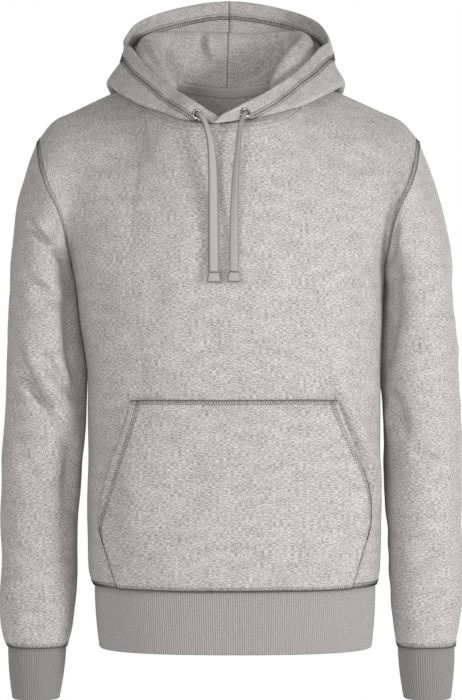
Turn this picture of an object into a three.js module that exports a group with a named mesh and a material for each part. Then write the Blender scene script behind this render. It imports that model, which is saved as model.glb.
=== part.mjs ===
// Pullover hoodie in the shape that it has when it is worn, with nobody in it.
// Every piece that is cut and sewn is a closed solid of its own, SEAM_GAP from the pieces it is sewn to.
// Millimetres. +Z is up, the front faces -Y and the wearer's left side is +X.
// The origin is in the middle of the neck opening, 20 mm under the neck ends of the shoulder seams.

import * as THREE from 'three';
import { mergeVertices } from 'three/addons/utils/BufferGeometryUtils.js';

// Cloth thicknesses and gaps
const FLEECE = 2.4;
const HEM_LAYER = 2; // the second layer where the hood's edge is turned in
const RIB_KNIT = 3.2; // folded double
const TAPE = 1;
const TAPE_WIDTH = 12.5;
const SEAM_GAP = 0.3;
const NECK_SEAM_LIFT = 1.3; // the hood's lower edge turns sharply up from the shoulder
const RIB_RELIEF = 0.5;

// How closely the surfaces are divided
const BACK_NECK_STEPS = 6; // from the middle of the back to a shoulder seam
const FRONT_NECK_STEPS = 8; // from a shoulder seam to the middle of the front
const SHOULDER_STEPS = 6;
const ARMHOLE_STEPS = 10; // along the front half of an armhole, and along the back half
const CAP_STEPS = 5;
const FINE_STEPS = 400; // for measuring along a curve
const RIB_INSIDE_STEP = 8; // outer points to each point of a rib's plain inside
const EYELET_SIDES = 24;

// Shape of the level sections: 2 is an ellipse, more is squarer
const BODY_SQUARENESS = 2.5;
const SLEEVE_SQUARENESS = 2.2;

// A table whose columns have names, one row for each section or station.
function table(columns, rows) {
  const names = columns.split(' ');
  return rows.map((row) => Object.fromEntries(names.map((name, i) => [name, row[i]])));
}

// Level sections of the body, from the hem seam up to the armpits
const BODY = table('z x half front back', [
  [-616, 5, 176.3, 122, 117],
  [-598, 4.3, 181.4, 126, 121],
  [-550, 4.4, 183, 127.5, 121],
  [-480, 4.4, 183, 127, 118],
  [-406, 4, 181.5, 126, 116],
  [-350, 3.8, 181.2, 126.5, 117],
  [-290, 0.3, 186, 129, 120],
  [-250, -1.3, 190.8, 131, 123],
  [-222, -3.4, 194.5, 132, 125],
]);

// Hem rib, from its seam to its lower edge
const HEM_RIB = table('z x half front back', [
  [-616.3, 5, 175.2, 121.2, 116.2],
  [-694, 5.6, 169.8, 118, 113],
]);
const HEM_RIBS = 352;

// An armhole from the armpit up to the shoulder: how far out, and how far before and behind
const ARMHOLE = table('z out front back', [
  [-222, 194.5, 0, 0],
  [-203, 197.5, -42, 48],
  [-174, 202.5, -66, 74],
  [-150, 210, -73, 82],
  [-124, 223.5, -67, 78],
  [-95, 233.5, -44, 56],
  [-64, 239.5, 8, 8],
]);
const ARMHOLE_X = -3.4; // the middle between the two armholes
const ARMHOLE_PULL = 5; // how quickly the pull of an armhole's edge dies away across a panel

// A shoulder seam from the neck to the armhole
const SHOULDER = table('out y z', [
  [90, 12, 20],
  [146, 12, -4],
  [190, 11, -24.5],
  [218, 10, -38],
  [239.5, 8, -64],
]);

// The neck seam from the middle of the back, round one side, to the middle of the front
const NECK = table('out y z', [
  [0, 78, 10],
  [39.5, 71.5, 13],
  [73, 48, 18],
  [90, 12, 20],
  [96, -22, 0],
  [95, -54, -24],
  [76, -82, -43],
  [42, -101, -56],
  [0, -108, -60],
]);
const NECK_SHOULDER_ROW = 3;

// Level sections of the sleeves, from the cuff seam up; right and left give the middle of each
const SLEEVE = table('z right right_half left left_half y depth', [
  [-693, -241.4, 37.2, 243.4, 36.4, -9, 38.5],
  [-660, -241.5, 44.8, 243.8, 42.5, -7, 46],
  [-613, -240.1, 47, 243.1, 45.6, -4, 51],
  [-540, -238.3, 48.9, 242, 46.8, 1, 56],
  [-460, -235, 50.8, 239.9, 48.6, 6, 63],
  [-406, -232.4, 51.1, 239.3, 48, 8, 68],
  [-352, -230.6, 49.8, 236.2, 47.9, 10, 73],
  [-300, -233, 44.5, 235.4, 45.4, 10, 78],
  [-250, -235, 39, 234.3, 40.7, 10, 82],
]);

// How a sleeve's cap leaves the armhole: its lean outwards at the armpit and what that gains up to the
// shoulder, and the shares of its length over which it leaves the seam and comes down straight
const CAP = { lean: 0.02, gain: 0.42, leaving: 0.4, arriving: 0.35 };

// Cuffs, from the seam to the lower edge
const CUFF = table('z right right_half left left_half y depth', [
  [-693.3, -241.5, 36.4, 243.2, 35.6, -9, 37.4],
  [-758, -242.9, 29.4, 244.4, 29.4, -12, 31],
]);
const CUFF_RIBS = 76;

// The pocket's outline from its top seam to the hem seam
const POCKET = table('z half', [
  [-615.2, 142.5],
  [-598, 148],
  [-578, 154],
  [-541, 165],
  [-520, 162.5],
  [-500, 158],
  [-470, 149],
  [-440, 139],
  [-415, 131.5],
  [-386, 124.5],
]);
const POCKET_MOUTH_END = -541;
const POCKET_LIFT = 11; // how far its middle stands off the front
const POCKET_FULLNESS = 0.7; // less is flatter between its top and its bottom
const POCKET_MOUTH_REACH = 4; // how quickly a mouth's own lift dies away towards the middle
const MOUTH_LIFT = { right: 6, left: 12 };
const POCKET_COLUMNS = 24;
const FACET_CLEARANCE = 0.8; // keeps a piece that lies on a panel clear of the panel's facets

// The hood's lines, by the share of the neck seam from the middle of the back to that of the front.
// The cloth rises from the neck seam to a ridge, falls outside it to the bottom of the hood's bag, and
// rises again to the rim. The roll is half the width of a turn.
const HOOD_RIDGE = table('share out y z roll', [
  [0, 0, 105, 83, 12],
  [0.15, 44, 104, 83, 12],
  [0.3, 84, 93, 83, 12],
  [0.42, 101, 64, 74, 12],
  [0.5, 95, 32, 54, 12],
  [0.6, 80, -2, 30, 11],
  [0.7, 62, -36, 4, 8],
  [0.8, 62, -70, -24, 4],
  [0.9, 35, -94, -41, 3],
  [1, 3, -107, -51, 2],
]);
const HOOD_BAG = table('share out y z roll drop', [
  [0, 0, 143, -112, 15, 0],
  [0.15, 50, 139, -106, 15, 0],
  [0.3, 100, 118, -72, 14, 0],
  [0.42, 131, 75, -22, 13, 3],
  [0.5, 141, 10, 7, 15, 5],
  [0.6, 126, -30, -5, 12, 3],
  [0.7, 100, -64, -23, 8, 0],
  [0.8, 74, -84, -33, 4, 0],
  [0.9, 40, -108, -44, 3, 0],
  [1, 2, -118, -51, 2, 0],
]);
const HOOD_RIM = table('share out y z', [
  [0, 0, 145, 129],
  [0.15, 68, 138, 118.7],
  [0.3, 115.6, 98, 96.5],
  [0.42, 130, 52, 68],
  [0.5, 118, 22, 55],
  [0.6, 101, -12, 33],
  [0.7, 84, -42, 15],
  [0.8, 58, -76, -6],
  [0.9, 30, -104, -24],
  [1, 1, -120, -42],
]);
const HOOD_FACING = table('share degrees', [
  [0, 90],
  [0.15, 78],
  [0.3, 52],
  [0.42, 22],
  [0.5, 2],
  [0.6, -22],
  [0.7, -42],
  [0.8, -60],
  [0.9, -76],
  [1, -88],
]);
// The rim is turned in over this width, and over no more than this share of the cloth's last stretch
const HEM_WIDTH = 24;
const HEM_LIMIT = 0.8;
const HEM_STEP = 0.94; // the hem's width where its second layer has its full thickness
const HEM_ROWS = 2;
// How far the two front ends of the hood cross
const LAP_START = 0.86;
const LAP = { right: { out: 3, y: 6, rim: 1 }, left: { out: -12, y: -7, rim: 0.2 } };
const LAP_RIDGE = 0.6; // the ridge takes this share of it

// Eyelets and drawcord
const EYELET = {
  share: { right: 0.925, left: 0.915 }, down: 13, hole: 3.6, radius: 6.3, height: 1.4, rounding: 0.5,
};
const CORD = { width: 11.5, thick: 2.6, sides: 10, step: 14 };
const TIP = { width: 14, thick: 3.4, length: 12.5, corner: 2 };
// Each cord hangs from its eyelet down the chest
const CORD_ROUTES = {
  right: [
    [-38, -118.5, -41], [-30.5, -125.5, -53], [-24, -132.5, -78], [-21.6, -136, -111], [-21, -138, -157],
    [-20.6, -139, -200], [-20.4, -139.5, -231],
  ],
  left: [
    [15, -119.5, -44], [11.2, -126.5, -56], [8.2, -133, -84], [5.2, -137, -121], [3.8, -139, -163],
    [3.6, -140, -203], [3.6, -140.5, -230.5],
  ],
};

const SIDES = ['right', 'left'];
const sign = (side) => (side === 'left' ? 1 : -1);
const mix = (a, b, t) => a + (b - a) * t;
const radians = THREE.MathUtils.degToRad;
const ease = (x, from, to) => THREE.MathUtils.smoothstep(x, from, to);
const vec = (x, y, z) => new THREE.Vector3(x, y, z);

// The middle of the neck and hood moves a little to the wearer's right towards the front.
const neckX = (y) => -7.5 + 0.035 * y;

// The row of a table at a value of one rising column, by a smooth curve through its rows.
function rowAt(rows, column, value) {
  let i = 0;
  while (i < rows.length - 2 && rows[i + 1][column] < value) i += 1;
  const [a, b] = [rows[i], rows[i + 1]];
  const before = rows[i - 1] ?? a;
  const after = rows[i + 2] ?? b;
  const span = b[column] - a[column];
  const t = (value - a[column]) / span;
  const found = {};
  for (const name of Object.keys(a)) {
    const slopeA = (b[name] - before[name]) / (b[column] - before[column]) * span;
    const slopeB = (after[name] - a[name]) / (after[column] - a[column]) * span;
    found[name] = a[name] * (1 - 3 * t * t + 2 * t ** 3) + slopeA * (t - 2 * t * t + t ** 3)
      + b[name] * (3 * t * t - 2 * t ** 3) + slopeB * (t ** 3 - t * t);
  }
  found[column] = value;
  return found;
}

// A hood line's row, with the line carried on past the middle of the back as its mirror image.
function hoodRow(rows, share) {
  const beyond = { ...rows[1] };
  beyond.share = -beyond.share;
  if ('out' in beyond) beyond.out = -beyond.out;
  if ('degrees' in beyond) beyond.degrees = 180 - beyond.degrees;
  return rowAt([beyond, ...rows], 'share', share);
}

// The parameters that space points evenly along a line, from a fine row of parameters and their points.
function evenly(parameters, points, steps) {
  const along = [0];
  for (let i = 1; i < points.length; i += 1) along.push(along[i - 1] + points[i].distanceTo(points[i - 1]));
  const last = points.length - 1;
  return Array.from({ length: steps + 1 }, (_, k) => {
    const at = along[last] * k / steps;
    let i = 0;
    while (i < last - 1 && along[i + 1] < at) i += 1;
    return mix(parameters[i], parameters[i + 1], (at - along[i]) / (along[i + 1] - along[i]));
  });
}

// Points spaced evenly along a curve between two of its parameters.
function evenPoints(curve, from, to, steps) {
  const shares = Array.from({ length: FINE_STEPS + 1 }, (_, i) => mix(from, to, i / FINE_STEPS));
  const points = shares.map((share) => curve.getPoint(share));
  return evenly(shares, points, steps).map((share) => curve.getPoint(share));
}

// A point of a level section. The share runs from 0 at the wearer's right side, through 0.25 in front
// and 0.5 at the left side, back to 1.
function sectionPoint(section, share, squareness) {
  const angle = 2 * Math.PI * share;
  const along = (value) => Math.sign(value) * Math.abs(value) ** (2 / squareness);
  const depth = Math.sin(angle) > 0 ? section.front : section.back;
  return vec(section.x - section.half * along(Math.cos(angle)),
    (section.y ?? 0) - depth * along(Math.sin(angle)), section.z);
}

// Shares that space points evenly round a section, or round a part of it.
function evenShares(section, squareness, from, to, steps) {
  const shares = Array.from({ length: FINE_STEPS + 1 }, (_, i) => mix(from, to, i / FINE_STEPS));
  return evenly(shares, shares.map((share) => sectionPoint(section, share, squareness)), steps);
}

// A sheet of cloth: rows of points with a normal at each, on the outside of the garment.
function sheet(rows, { round = false, flip = false } = {}) {
  const last = rows.length - 1;
  const width = rows[0].length;
  const column = (c) => (round ? (c + width) % width : Math.min(Math.max(c, 0), width - 1));
  const normals = rows.map((row, r) => row.map((_, c) => {
    const across = row[column(c + 1)].clone().sub(row[column(c - 1)]);
    const up = rows[Math.min(r + 1, last)][c].clone().sub(rows[Math.max(r - 1, 0)][c]);
    return across.cross(up).multiplyScalar(flip ? -1 : 1).normalize();
  }));
  return { rows, normals, round };
}

// Where sheets meet at the same point of a seam, they get the same normal.
function shareNormals(sheets) {
  const key = (p) => p.toArray().map((value) => Math.round(value * 50)).join(' ');
  const sums = new Map();
  const edges = [];
  for (const { rows, normals, round } of sheets) {
    rows.forEach((row, r) => row.forEach((p, c) => {
      const edge = r === 0 || r === rows.length - 1 || (!round && (c === 0 || c === row.length - 1));
      if (edge) edges.push({ at: key(p), normal: normals[r][c] });
    }));
  }
  for (const { at, normal } of edges) sums.set(at, (sums.get(at) ?? vec(0, 0, 0)).add(normal));
  for (const { at, normal } of edges) normal.copy(sums.get(at)).normalize();
}

// The sheet cut back by half a seam gap along its edges.
function trimmed({ rows, normals, round }, firstRowGap = SEAM_GAP / 2) {
  const last = rows.length - 1;
  const width = rows[0].length;
  const moved = rows.map((row, r) => row.map((p, c) => {
    const shift = vec(0, 0, 0);
    const towards = (q, distance = SEAM_GAP / 2) => {
      const way = q.clone().sub(p);
      way.addScaledVector(normals[r][c], -way.dot(normals[r][c]));
      shift.add(way.setLength(distance));
    };
    if (r === 0) towards(rows[1][c], firstRowGap);
    if (r === last) towards(rows[last - 1][c]);
    if (!round && c === 0) towards(row[1]);
    if (!round && c === width - 1) towards(row[width - 2]);
    return p.clone().add(shift);
  }));
  return { rows: moved, normals, round };
}

// A closed mesh geometry from corner points and triangles, with its faces turned outwards.
function solid(points, triangles) {
  let volume = 0;
  for (const [a, b, c] of triangles) {
    volume += points[a].dot(points[b].clone().cross(points[c]));
  }
  const index = triangles.flatMap(([a, b, c]) => (volume > 0 ? [a, b, c] : [a, c, b]));
  const geometry = new THREE.BufferGeometry();
  geometry.setAttribute('position', new THREE.Float32BufferAttribute(points.flatMap((p) => p.toArray()), 3));
  geometry.setIndex(index);
  return geometry;
}

// A wall on a sheet. outside and inside are how far its faces stand from the sheet's points.
function wall({ rows, normals, round }, outside, inside) {
  const height = rows.length;
  const width = rows[0].length;
  const amount = (value, r, c) => (typeof value === 'function' ? value(r, c) : value);
  const points = [];
  for (const [face, way] of [[outside, 1], [inside, -1]]) {
    rows.forEach((row, r) => row.forEach((p, c) => {
      points.push(p.clone().addScaledVector(normals[r][c], way * amount(face, r, c)));
    }));
  }
  const at = (layer, r, c) => layer * height * width + r * width + (c % width);
  const triangles = [];
  const quad = (a, b, c, d) => triangles.push([a, b, c], [a, c, d]);
  const columns = round ? width : width - 1;
  for (let c = 0; c < columns; c += 1) {
    for (let r = 0; r < height - 1; r += 1) {
      quad(at(0, r, c), at(0, r, c + 1), at(0, r + 1, c + 1), at(0, r + 1, c));
      quad(at(1, r, c), at(1, r + 1, c), at(1, r + 1, c + 1), at(1, r, c + 1));
    }
    quad(at(0, 0, c), at(1, 0, c), at(1, 0, c + 1), at(0, 0, c + 1));
    quad(at(0, height - 1, c), at(0, height - 1, c + 1), at(1, height - 1, c + 1), at(1, height - 1, c));
  }
  for (let r = 0; r < height - 1 && !round; r += 1) {
    quad(at(0, r, 0), at(0, r + 1, 0), at(1, r + 1, 0), at(1, r, 0));
    quad(at(0, r, width - 1), at(1, r, width - 1), at(1, r + 1, width - 1), at(0, r + 1, width - 1));
  }
  return solid(points, triangles);
}

// The neck seam as two even runs on each side of the garment.
const neckPoint = (side) => ({ out, y, z }) => vec(neckX(y) + sign(side) * out, y, z);
function neckRuns(side) {
  const there = NECK.map(neckPoint(side));
  const back = NECK.slice(1, -1).reverse().map(neckPoint(side === 'left' ? 'right' : 'left'));
  const ring = new THREE.CatmullRomCurve3([...there, ...back], true, 'catmullrom', 0.5);
  const rows = there.length + back.length;
  const shoulder = NECK_SHOULDER_ROW / rows;
  return {
    back: evenPoints(ring, 0, shoulder, BACK_NECK_STEPS),
    front: evenPoints(ring, shoulder, (NECK.length - 1) / rows, FRONT_NECK_STEPS),
  };
}
const NECK_RUNS = { right: neckRuns('right'), left: neckRuns('left') };

// The armhole's front and back halves, each from the armpit to the shoulder.
function armholeRuns(side) {
  const point = (face) => (row) => vec(ARMHOLE_X + sign(side) * row.out, row[face], row.z);
  const points = [...ARMHOLE.map(point('front')), ...ARMHOLE.slice(1, -1).reverse().map(point('back'))];
  const ring = new THREE.CatmullRomCurve3(points, true, 'catmullrom', 0.5);
  return {
    front: evenPoints(ring, 0, 0.5, ARMHOLE_STEPS),
    back: evenPoints(ring, 1, 0.5, ARMHOLE_STEPS),
  };
}
const ARMHOLE_RUNS = { right: armholeRuns('right'), left: armholeRuns('left') };

// The shoulder seam from the neck to the armhole.
function shoulderRun(side) {
  const points = SHOULDER.map(({ out, y, z }, i) => {
    const middle = mix(neckX(SHOULDER[0].y), ARMHOLE_X, i / (SHOULDER.length - 1));
    return vec(middle + sign(side) * out, y, z);
  });
  return evenPoints(new THREE.CatmullRomCurve3(points, false, 'catmullrom', 0.5), 0, 1, SHOULDER_STEPS);
}
const SHOULDER_RUNS = { right: shoulderRun('right'), left: shoulderRun('left') };

// A body panel. Columns run from one side seam to the other. Its lower rows are level sections, and
// above the armpits each column bends over to the shoulder seam or the neck seam.
function panel(face, { neckShare, bends }) {
  const sides = face === 'front' ? ['right', 'left'] : ['left', 'right'];
  const neckSteps = face === 'front' ? FRONT_NECK_STEPS : BACK_NECK_STEPS;
  const top = [];
  const across = [];
  for (const [i, side] of sides.entries()) {
    const neck = face === 'front' ? NECK_RUNS[side].front : [...NECK_RUNS[side].back].reverse();
    const half = [...[...SHOULDER_RUNS[side]].reverse(), ...neck.slice(1)];
    const shares = half.map((_, c) => (c <= SHOULDER_STEPS
      ? mix(1, neckShare, c / SHOULDER_STEPS)
      : neckShare * (1 - (c - SHOULDER_STEPS) / neckSteps)));
    top.push(...(i === 0 ? half : half.slice(0, -1).reverse()));
    across.push(...(i === 0 ? shares.map((s) => -s) : shares.slice(0, -1).reverse()));
  }
  const armpit = BODY[BODY.length - 1];
  const turn = face === 'front' ? [0, 0.5] : [0.5, 1];
  const even = evenShares(armpit, BODY_SQUARENESS, turn[0], turn[1], FINE_STEPS);
  const sectionShare = across.map((u) => even[Math.round((u + 1) / 2 * FINE_STEPS)]);
  const rows = BODY.map((row) => sectionShare.map((share) => sectionPoint(row, share, BODY_SQUARENESS)));
  const bottom = rows[rows.length - 1];
  const bendAt = (u) => (u < neckShare
    ? mix(bends.middle, bends.neck, ease(u, 0, neckShare))
    : mix(bends.neck, bends.shoulder, (u - neckShare) / (1 - neckShare)));
  const arc = (c, t) => {
    const bend = radians(bendAt(Math.abs(across[c])));
    const forward = (1 - Math.cos(bend * t)) / (1 - Math.cos(bend));
    const up = Math.sin(bend * t) / Math.sin(bend);
    return vec(mix(bottom[c].x, top[c].x, t * t * (3 - 2 * t)), mix(bottom[c].y, top[c].y, forward),
      mix(bottom[c].z, top[c].z, up));
  };
  for (let k = 1; k <= ARMHOLE_STEPS; k += 1) {
    const t = k / ARMHOLE_STEPS;
    rows.push(across.map((u, c) => {
      const [end, side] = u < 0 ? [0, sides[0]] : [across.length - 1, sides[1]];
      const pull = ARMHOLE_RUNS[side][face][k].clone().sub(arc(end, t));
      const share = Math.abs(u) ** ARMHOLE_PULL;
      return k === ARMHOLE_STEPS ? top[c].clone() : arc(c, t).addScaledVector(pull, share);
    }));
  }
  return sheet(rows);
}

// A sleeve from its armhole down to the cuff seam, open at both ends.
const sleeveSection = (row, side) => ({
  z: row.z, x: row[side], half: row[`${side}_half`], y: row.y, front: row.depth, back: row.depth,
});
function sleeve(side) {
  const { front, back } = ARMHOLE_RUNS[side];
  const armhole = [...front, ...back.slice(1, -1).reverse()];
  // the share of a section that starts at the body side and goes round by the front
  const shares = armhole.map((_, c) => (side === 'left' ? c / armhole.length : 0.5 - c / armhole.length));
  const ring = (row) => shares.map((share) => (
    sectionPoint(sleeveSection(row, side), (share + 1) % 1, SLEEVE_SQUARENESS)));
  const levels = [...SLEEVE].reverse().map(ring);
  const [low, high] = [ARMHOLE[0].z, ARMHOLE[ARMHOLE.length - 1].z];
  const cap = armhole.map((from, c) => {
    const to = levels[0][c];
    const reach = from.distanceTo(to);
    const lean = CAP.lean + CAP.gain * (from.z - low) / (high - low);
    const leaving = vec(sign(side) * lean, 0, -1).setLength(reach * CAP.leaving);
    const arriving = vec(0, 0, reach * CAP.arriving);
    return new THREE.CubicBezierCurve3(from, from.clone().add(leaving), to.clone().add(arriving), to);
  });
  const capShares = Array.from({ length: CAP_STEPS }, (_, k) => k / CAP_STEPS);
  const capRows = capShares.map((share) => cap.map((curve) => curve.getPoint(share)));
  return sheet([...capRows, ...levels], { round: true, flip: side === 'left' });
}

// A tube of doubled rib knit, with its ribs raised outside and plain inside.
function ribbedTube(upper, lower, ribs, squareness) {
  const outerCount = ribs * 2;
  const points = [];
  const outer = [];
  const inner = [];
  for (const section of [upper, lower]) {
    const shares = evenShares(section, squareness, 0, 1, outerCount);
    const ring = shares.slice(0, -1).map((s) => sectionPoint(section, s, squareness));
    const away = ring.map((_, i) => {
      const along = ring[(i + 1) % outerCount].clone().sub(ring[(i + outerCount - 1) % outerCount]);
      return vec(along.y, -along.x, 0).normalize();
    });
    outer.push(points.length);
    ring.forEach((p, i) => points.push(p.clone().addScaledVector(away[i], i % 2 ? -RIB_RELIEF : 0)));
    inner.push(points.length);
    for (let i = 0; i < outerCount; i += RIB_INSIDE_STEP) {
      points.push(ring[i].clone().addScaledVector(away[i], -RIB_KNIT));
    }
  }
  const innerCount = outerCount / RIB_INSIDE_STEP;
  const triangles = [];
  const strip = (a, b, count) => {
    for (let i = 0; i < count; i += 1) {
      const j = (i + 1) % count;
      triangles.push([a + i, b + i, b + j], [a + i, b + j, a + j]);
    }
  };
  const edge = (around, within) => {
    for (let i = 0; i < innerCount; i += 1) {
      for (let k = 0; k < RIB_INSIDE_STEP; k += 1) {
        const first = i * RIB_INSIDE_STEP + k;
        triangles.push([within + i, around + first, around + ((first + 1) % outerCount)]);
      }
      const next = around + (((i + 1) * RIB_INSIDE_STEP) % outerCount);
      triangles.push([within + i, next, within + ((i + 1) % innerCount)]);
    }
  };
  const flipped = (make) => {
    const start = triangles.length;
    make();
    for (let i = start; i < triangles.length; i += 1) triangles[i].reverse();
  };
  strip(outer[0], outer[1], outerCount);
  flipped(() => strip(inner[0], inner[1], innerCount));
  edge(outer[0], inner[0]);
  flipped(() => edge(outer[1], inner[1]));
  return solid(points, triangles);
}

// The hood's cloth at one share of the neck seam, as a soft line from the neck seam to the rim.
function hoodLine(side, share, start) {
  const lap = ease(share, LAP_START, 1);
  const place = ({ out, y, z }, lapped) => {
    const w = out + LAP[side].out * lap * lapped;
    return vec(neckX(y) + sign(side) * w, y + LAP[side].y * lap * lapped, z);
  };
  const angle = radians(hoodRow(HOOD_FACING, share).degrees);
  const way = vec(sign(side) * Math.cos(angle), Math.sin(angle), 0);
  const ridge = hoodRow(HOOD_RIDGE, share);
  const bag = hoodRow(HOOD_BAG, share);
  const ridgeAt = place(ridge, LAP_RIDGE);
  const bagAt = place(bag, 1);
  const drop = vec(0, 0, -bag.drop);
  const corners = [
    start,
    ridgeAt.clone().addScaledVector(way, -ridge.roll),
    ridgeAt.clone().addScaledVector(way, ridge.roll),
    bagAt.clone().addScaledVector(way, -bag.roll).sub(drop),
    bagAt.clone().addScaledVector(way, bag.roll).add(drop),
    place(hoodRow(HOOD_RIM, share), LAP[side].rim),
  ];
  return softened(softened(corners));
}

// A line with its corners cut at a quarter of each leg, which keeps its two ends.
function softened(line) {
  const cut = [line[0]];
  for (let i = 0; i < line.length - 1; i += 1) {
    if (i > 0) cut.push(line[i].clone().lerp(line[i + 1], 0.25));
    if (i < line.length - 2) cut.push(line[i].clone().lerp(line[i + 1], 0.75));
  }
  cut.push(line[line.length - 1]);
  return cut;
}

// The point at a distance back from the end of a line.
function backFromEnd(line, distance) {
  let left = distance;
  for (let i = line.length - 1; i > 0; i -= 1) {
    const step = line[i].distanceTo(line[i - 1]);
    if (step >= left) return line[i].clone().lerp(line[i - 1], left / step);
    left -= step;
  }
  return line[0].clone();
}

// Half of the hood, from the middle of the back to its front end. The rows of the turned hem are
// added at its rim.
function hoodHalf(side) {
  const { back, front } = NECK_RUNS[side];
  const starts = [...back, ...front.slice(1)];
  const shares = starts.map((_, i) => (i <= BACK_NECK_STEPS
    ? 0.5 * i / BACK_NECK_STEPS
    : 0.5 + 0.5 * (i - BACK_NECK_STEPS) / FRONT_NECK_STEPS));
  const lines = starts.map((start, i) => {
    const line = hoodLine(side, shares[i], start);
    const stretch = line[line.length - 1].distanceTo(line[line.length - 2]);
    const hem = Math.min(HEM_WIDTH, stretch * HEM_LIMIT);
    const hemRows = [1, HEM_STEP].map((part) => backFromEnd(line, hem * part));
    return [...line.slice(0, -1), ...hemRows, line[line.length - 1]];
  });
  const rows = lines[0].map((_, r) => lines.map((line) => line[r]));
  return sheet(rows, { flip: side === 'left' });
}

// The front's outer surface at a place across and a height.
function frontPoint(x, z) {
  const row = rowAt(BODY, 'z', z);
  const share = Math.min(Math.abs((x - row.x) / row.half), 1);
  return vec(x, -row.front * (1 - share ** BODY_SQUARENESS) ** (1 / BODY_SQUARENESS), z);
}
function frontNormal(x, z) {
  const step = 1;
  const across = frontPoint(x + step, z).sub(frontPoint(x - step, z));
  const up = frontPoint(x, z + step).sub(frontPoint(x, z - step));
  return across.cross(up).normalize();
}

// The pocket lies on the front: sewn along its top, its lower sides and the hem seam, open at its
// two slanting mouths.
function pocket() {
  const columns = POCKET_COLUMNS;
  const levels = POCKET.map((row) => row.z);
  const [low, high] = [levels[0], levels[levels.length - 1]];
  const lift = (across, z) => {
    const middle = POCKET_LIFT * Math.sin(Math.PI * (z - low) / (high - low)) ** POCKET_FULLNESS;
    const open = Math.max(z - POCKET_MOUTH_END, 0) / (high - POCKET_MOUTH_END);
    const mouth = MOUTH_LIFT[across < 0 ? 'right' : 'left'] * Math.sin(Math.PI * open);
    return FACET_CLEARANCE + mix(middle, mouth, Math.abs(across) ** POCKET_MOUTH_REACH);
  };
  const rows = [];
  const normals = [];
  for (const row of POCKET) {
    const middle = rowAt(BODY, 'z', row.z).x;
    const shares = Array.from({ length: columns + 1 }, (_, c) => 2 * c / columns - 1);
    normals.push(shares.map((s) => frontNormal(middle + s * row.half, row.z)));
    rows.push(shares.map((s, c) => frontPoint(middle + s * row.half, row.z)
      .addScaledVector(normals[normals.length - 1][c], lift(s, row.z))));
  }
  return wall({ rows, normals, round: false }, FLEECE, 0);
}

// A tape on the inside of the back, just under the neck seam.
function neckTape(back) {
  const top = back.rows.length - 1;
  const first = SHOULDER_STEPS;
  const last = back.rows[top].length - 1 - SHOULDER_STEPS;
  const columns = Array.from({ length: last - first + 1 }, (_, i) => back.rows.map((row) => row[first + i]));
  const upper = back.normals[top].slice(first, last + 1);
  const nextRow = back.normals[top - 1].slice(first, last + 1);
  const rows = [TAPE_WIDTH, 0].map((down) => columns.map((column) => backFromEnd(column, down + 1)));
  const lower = upper.map((normal, i) => normal.clone().lerp(nextRow[i], 1 / 3).normalize());
  const under = FLEECE + FACET_CLEARANCE;
  return wall(trimmed({ rows, normals: [lower, upper], round: false }), -under, under + TAPE);
}

// The place and direction of an eyelet on the band of the hood.
function eyeletFrame(side) {
  const { back, front } = NECK_RUNS[side];
  const ring = new THREE.CatmullRomCurve3([...back, ...front.slice(1)], false, 'catmullrom', 0.5);
  const at = (share, down) => backFromEnd(hoodLine(side, share, ring.getPoint(share)), down);
  const { down, radius } = EYELET;
  const share = EYELET.share[side];
  const step = 0.01;
  const across = at(share + step, down).sub(at(share - step, down));
  const along = at(share, down - radius).sub(at(share, down + radius));
  const normal = across.cross(along).normalize();
  if (normal.y > 0) normal.negate();
  return { point: at(share, down), normal };
}

function eyelet() {
  const { hole, radius, height, rounding } = EYELET;
  const profile = [
    [hole, 0], [radius, 0], [radius, height - rounding], [radius - rounding, height],
    [hole + rounding, height], [hole, height - rounding], [hole, 0],
  ];
  return new THREE.LatheGeometry(profile.map(([r, h]) => new THREE.Vector2(r, h)), EYELET_SIDES);
}

// A flat cord along its route.
function cord(side) {
  const curve = new THREE.CatmullRomCurve3(CORD_ROUTES[side].map((p) => vec(...p)), false, 'centripetal');
  const outline = new THREE.Shape(Array.from({ length: CORD.sides }, (_, i) => {
    const angle = 2 * Math.PI * i / CORD.sides;
    return new THREE.Vector2(CORD.width / 2 * Math.cos(angle), CORD.thick / 2 * Math.sin(angle));
  }));
  const steps = Math.round(curve.getLength() / CORD.step);
  return new THREE.ExtrudeGeometry(outline, { steps, extrudePath: curve });
}

function tip() {
  const { width, thick, length, corner } = TIP;
  const outline = new THREE.Shape();
  const [w, h] = [width / 2, length];
  outline.moveTo(-w + corner, 0);
  outline.lineTo(w - corner, 0);
  outline.quadraticCurveTo(w, 0, w, corner);
  outline.lineTo(w, h - corner);
  outline.quadraticCurveTo(w, h, w - corner, h);
  outline.lineTo(-w + corner, h);
  outline.quadraticCurveTo(-w, h, -w, h - corner);
  outline.lineTo(-w, corner);
  outline.quadraticCurveTo(-w, 0, -w + corner, 0);
  const block = new THREE.ExtrudeGeometry(outline, { depth: thick, bevelEnabled: false, curveSegments: 3 });
  return block.translate(0, 0, -thick / 2);
}

// Finishes
const FLEECE_FINISH = { color: 0xb7b3b2, roughness: 0.95, metalness: 0 };
const RIB_FINISH = { color: 0xaaa6a5, roughness: 0.95, metalness: 0 };
const CORD_FINISH = { color: 0xaeaaa9, roughness: 0.85, metalness: 0 };
const TAPE_FINISH = { color: 0x8d8a89, roughness: 0.9, metalness: 0 };
const METAL_FINISH = { color: 0x77787a, roughness: 0.3, metalness: 1 };
const TIP_FINISH = { color: 0xc4c1bd, roughness: 0.4, metalness: 0 };

const hoodie = new THREE.Group();
function add(name, geometry, finish) {
  geometry.deleteAttribute('normal');
  geometry.deleteAttribute('uv');
  const mesh = new THREE.Mesh(mergeVertices(geometry, 1e-4), new THREE.MeshStandardMaterial(finish));
  mesh.name = name;
  hoodie.add(mesh);
  return mesh;
}

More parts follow.
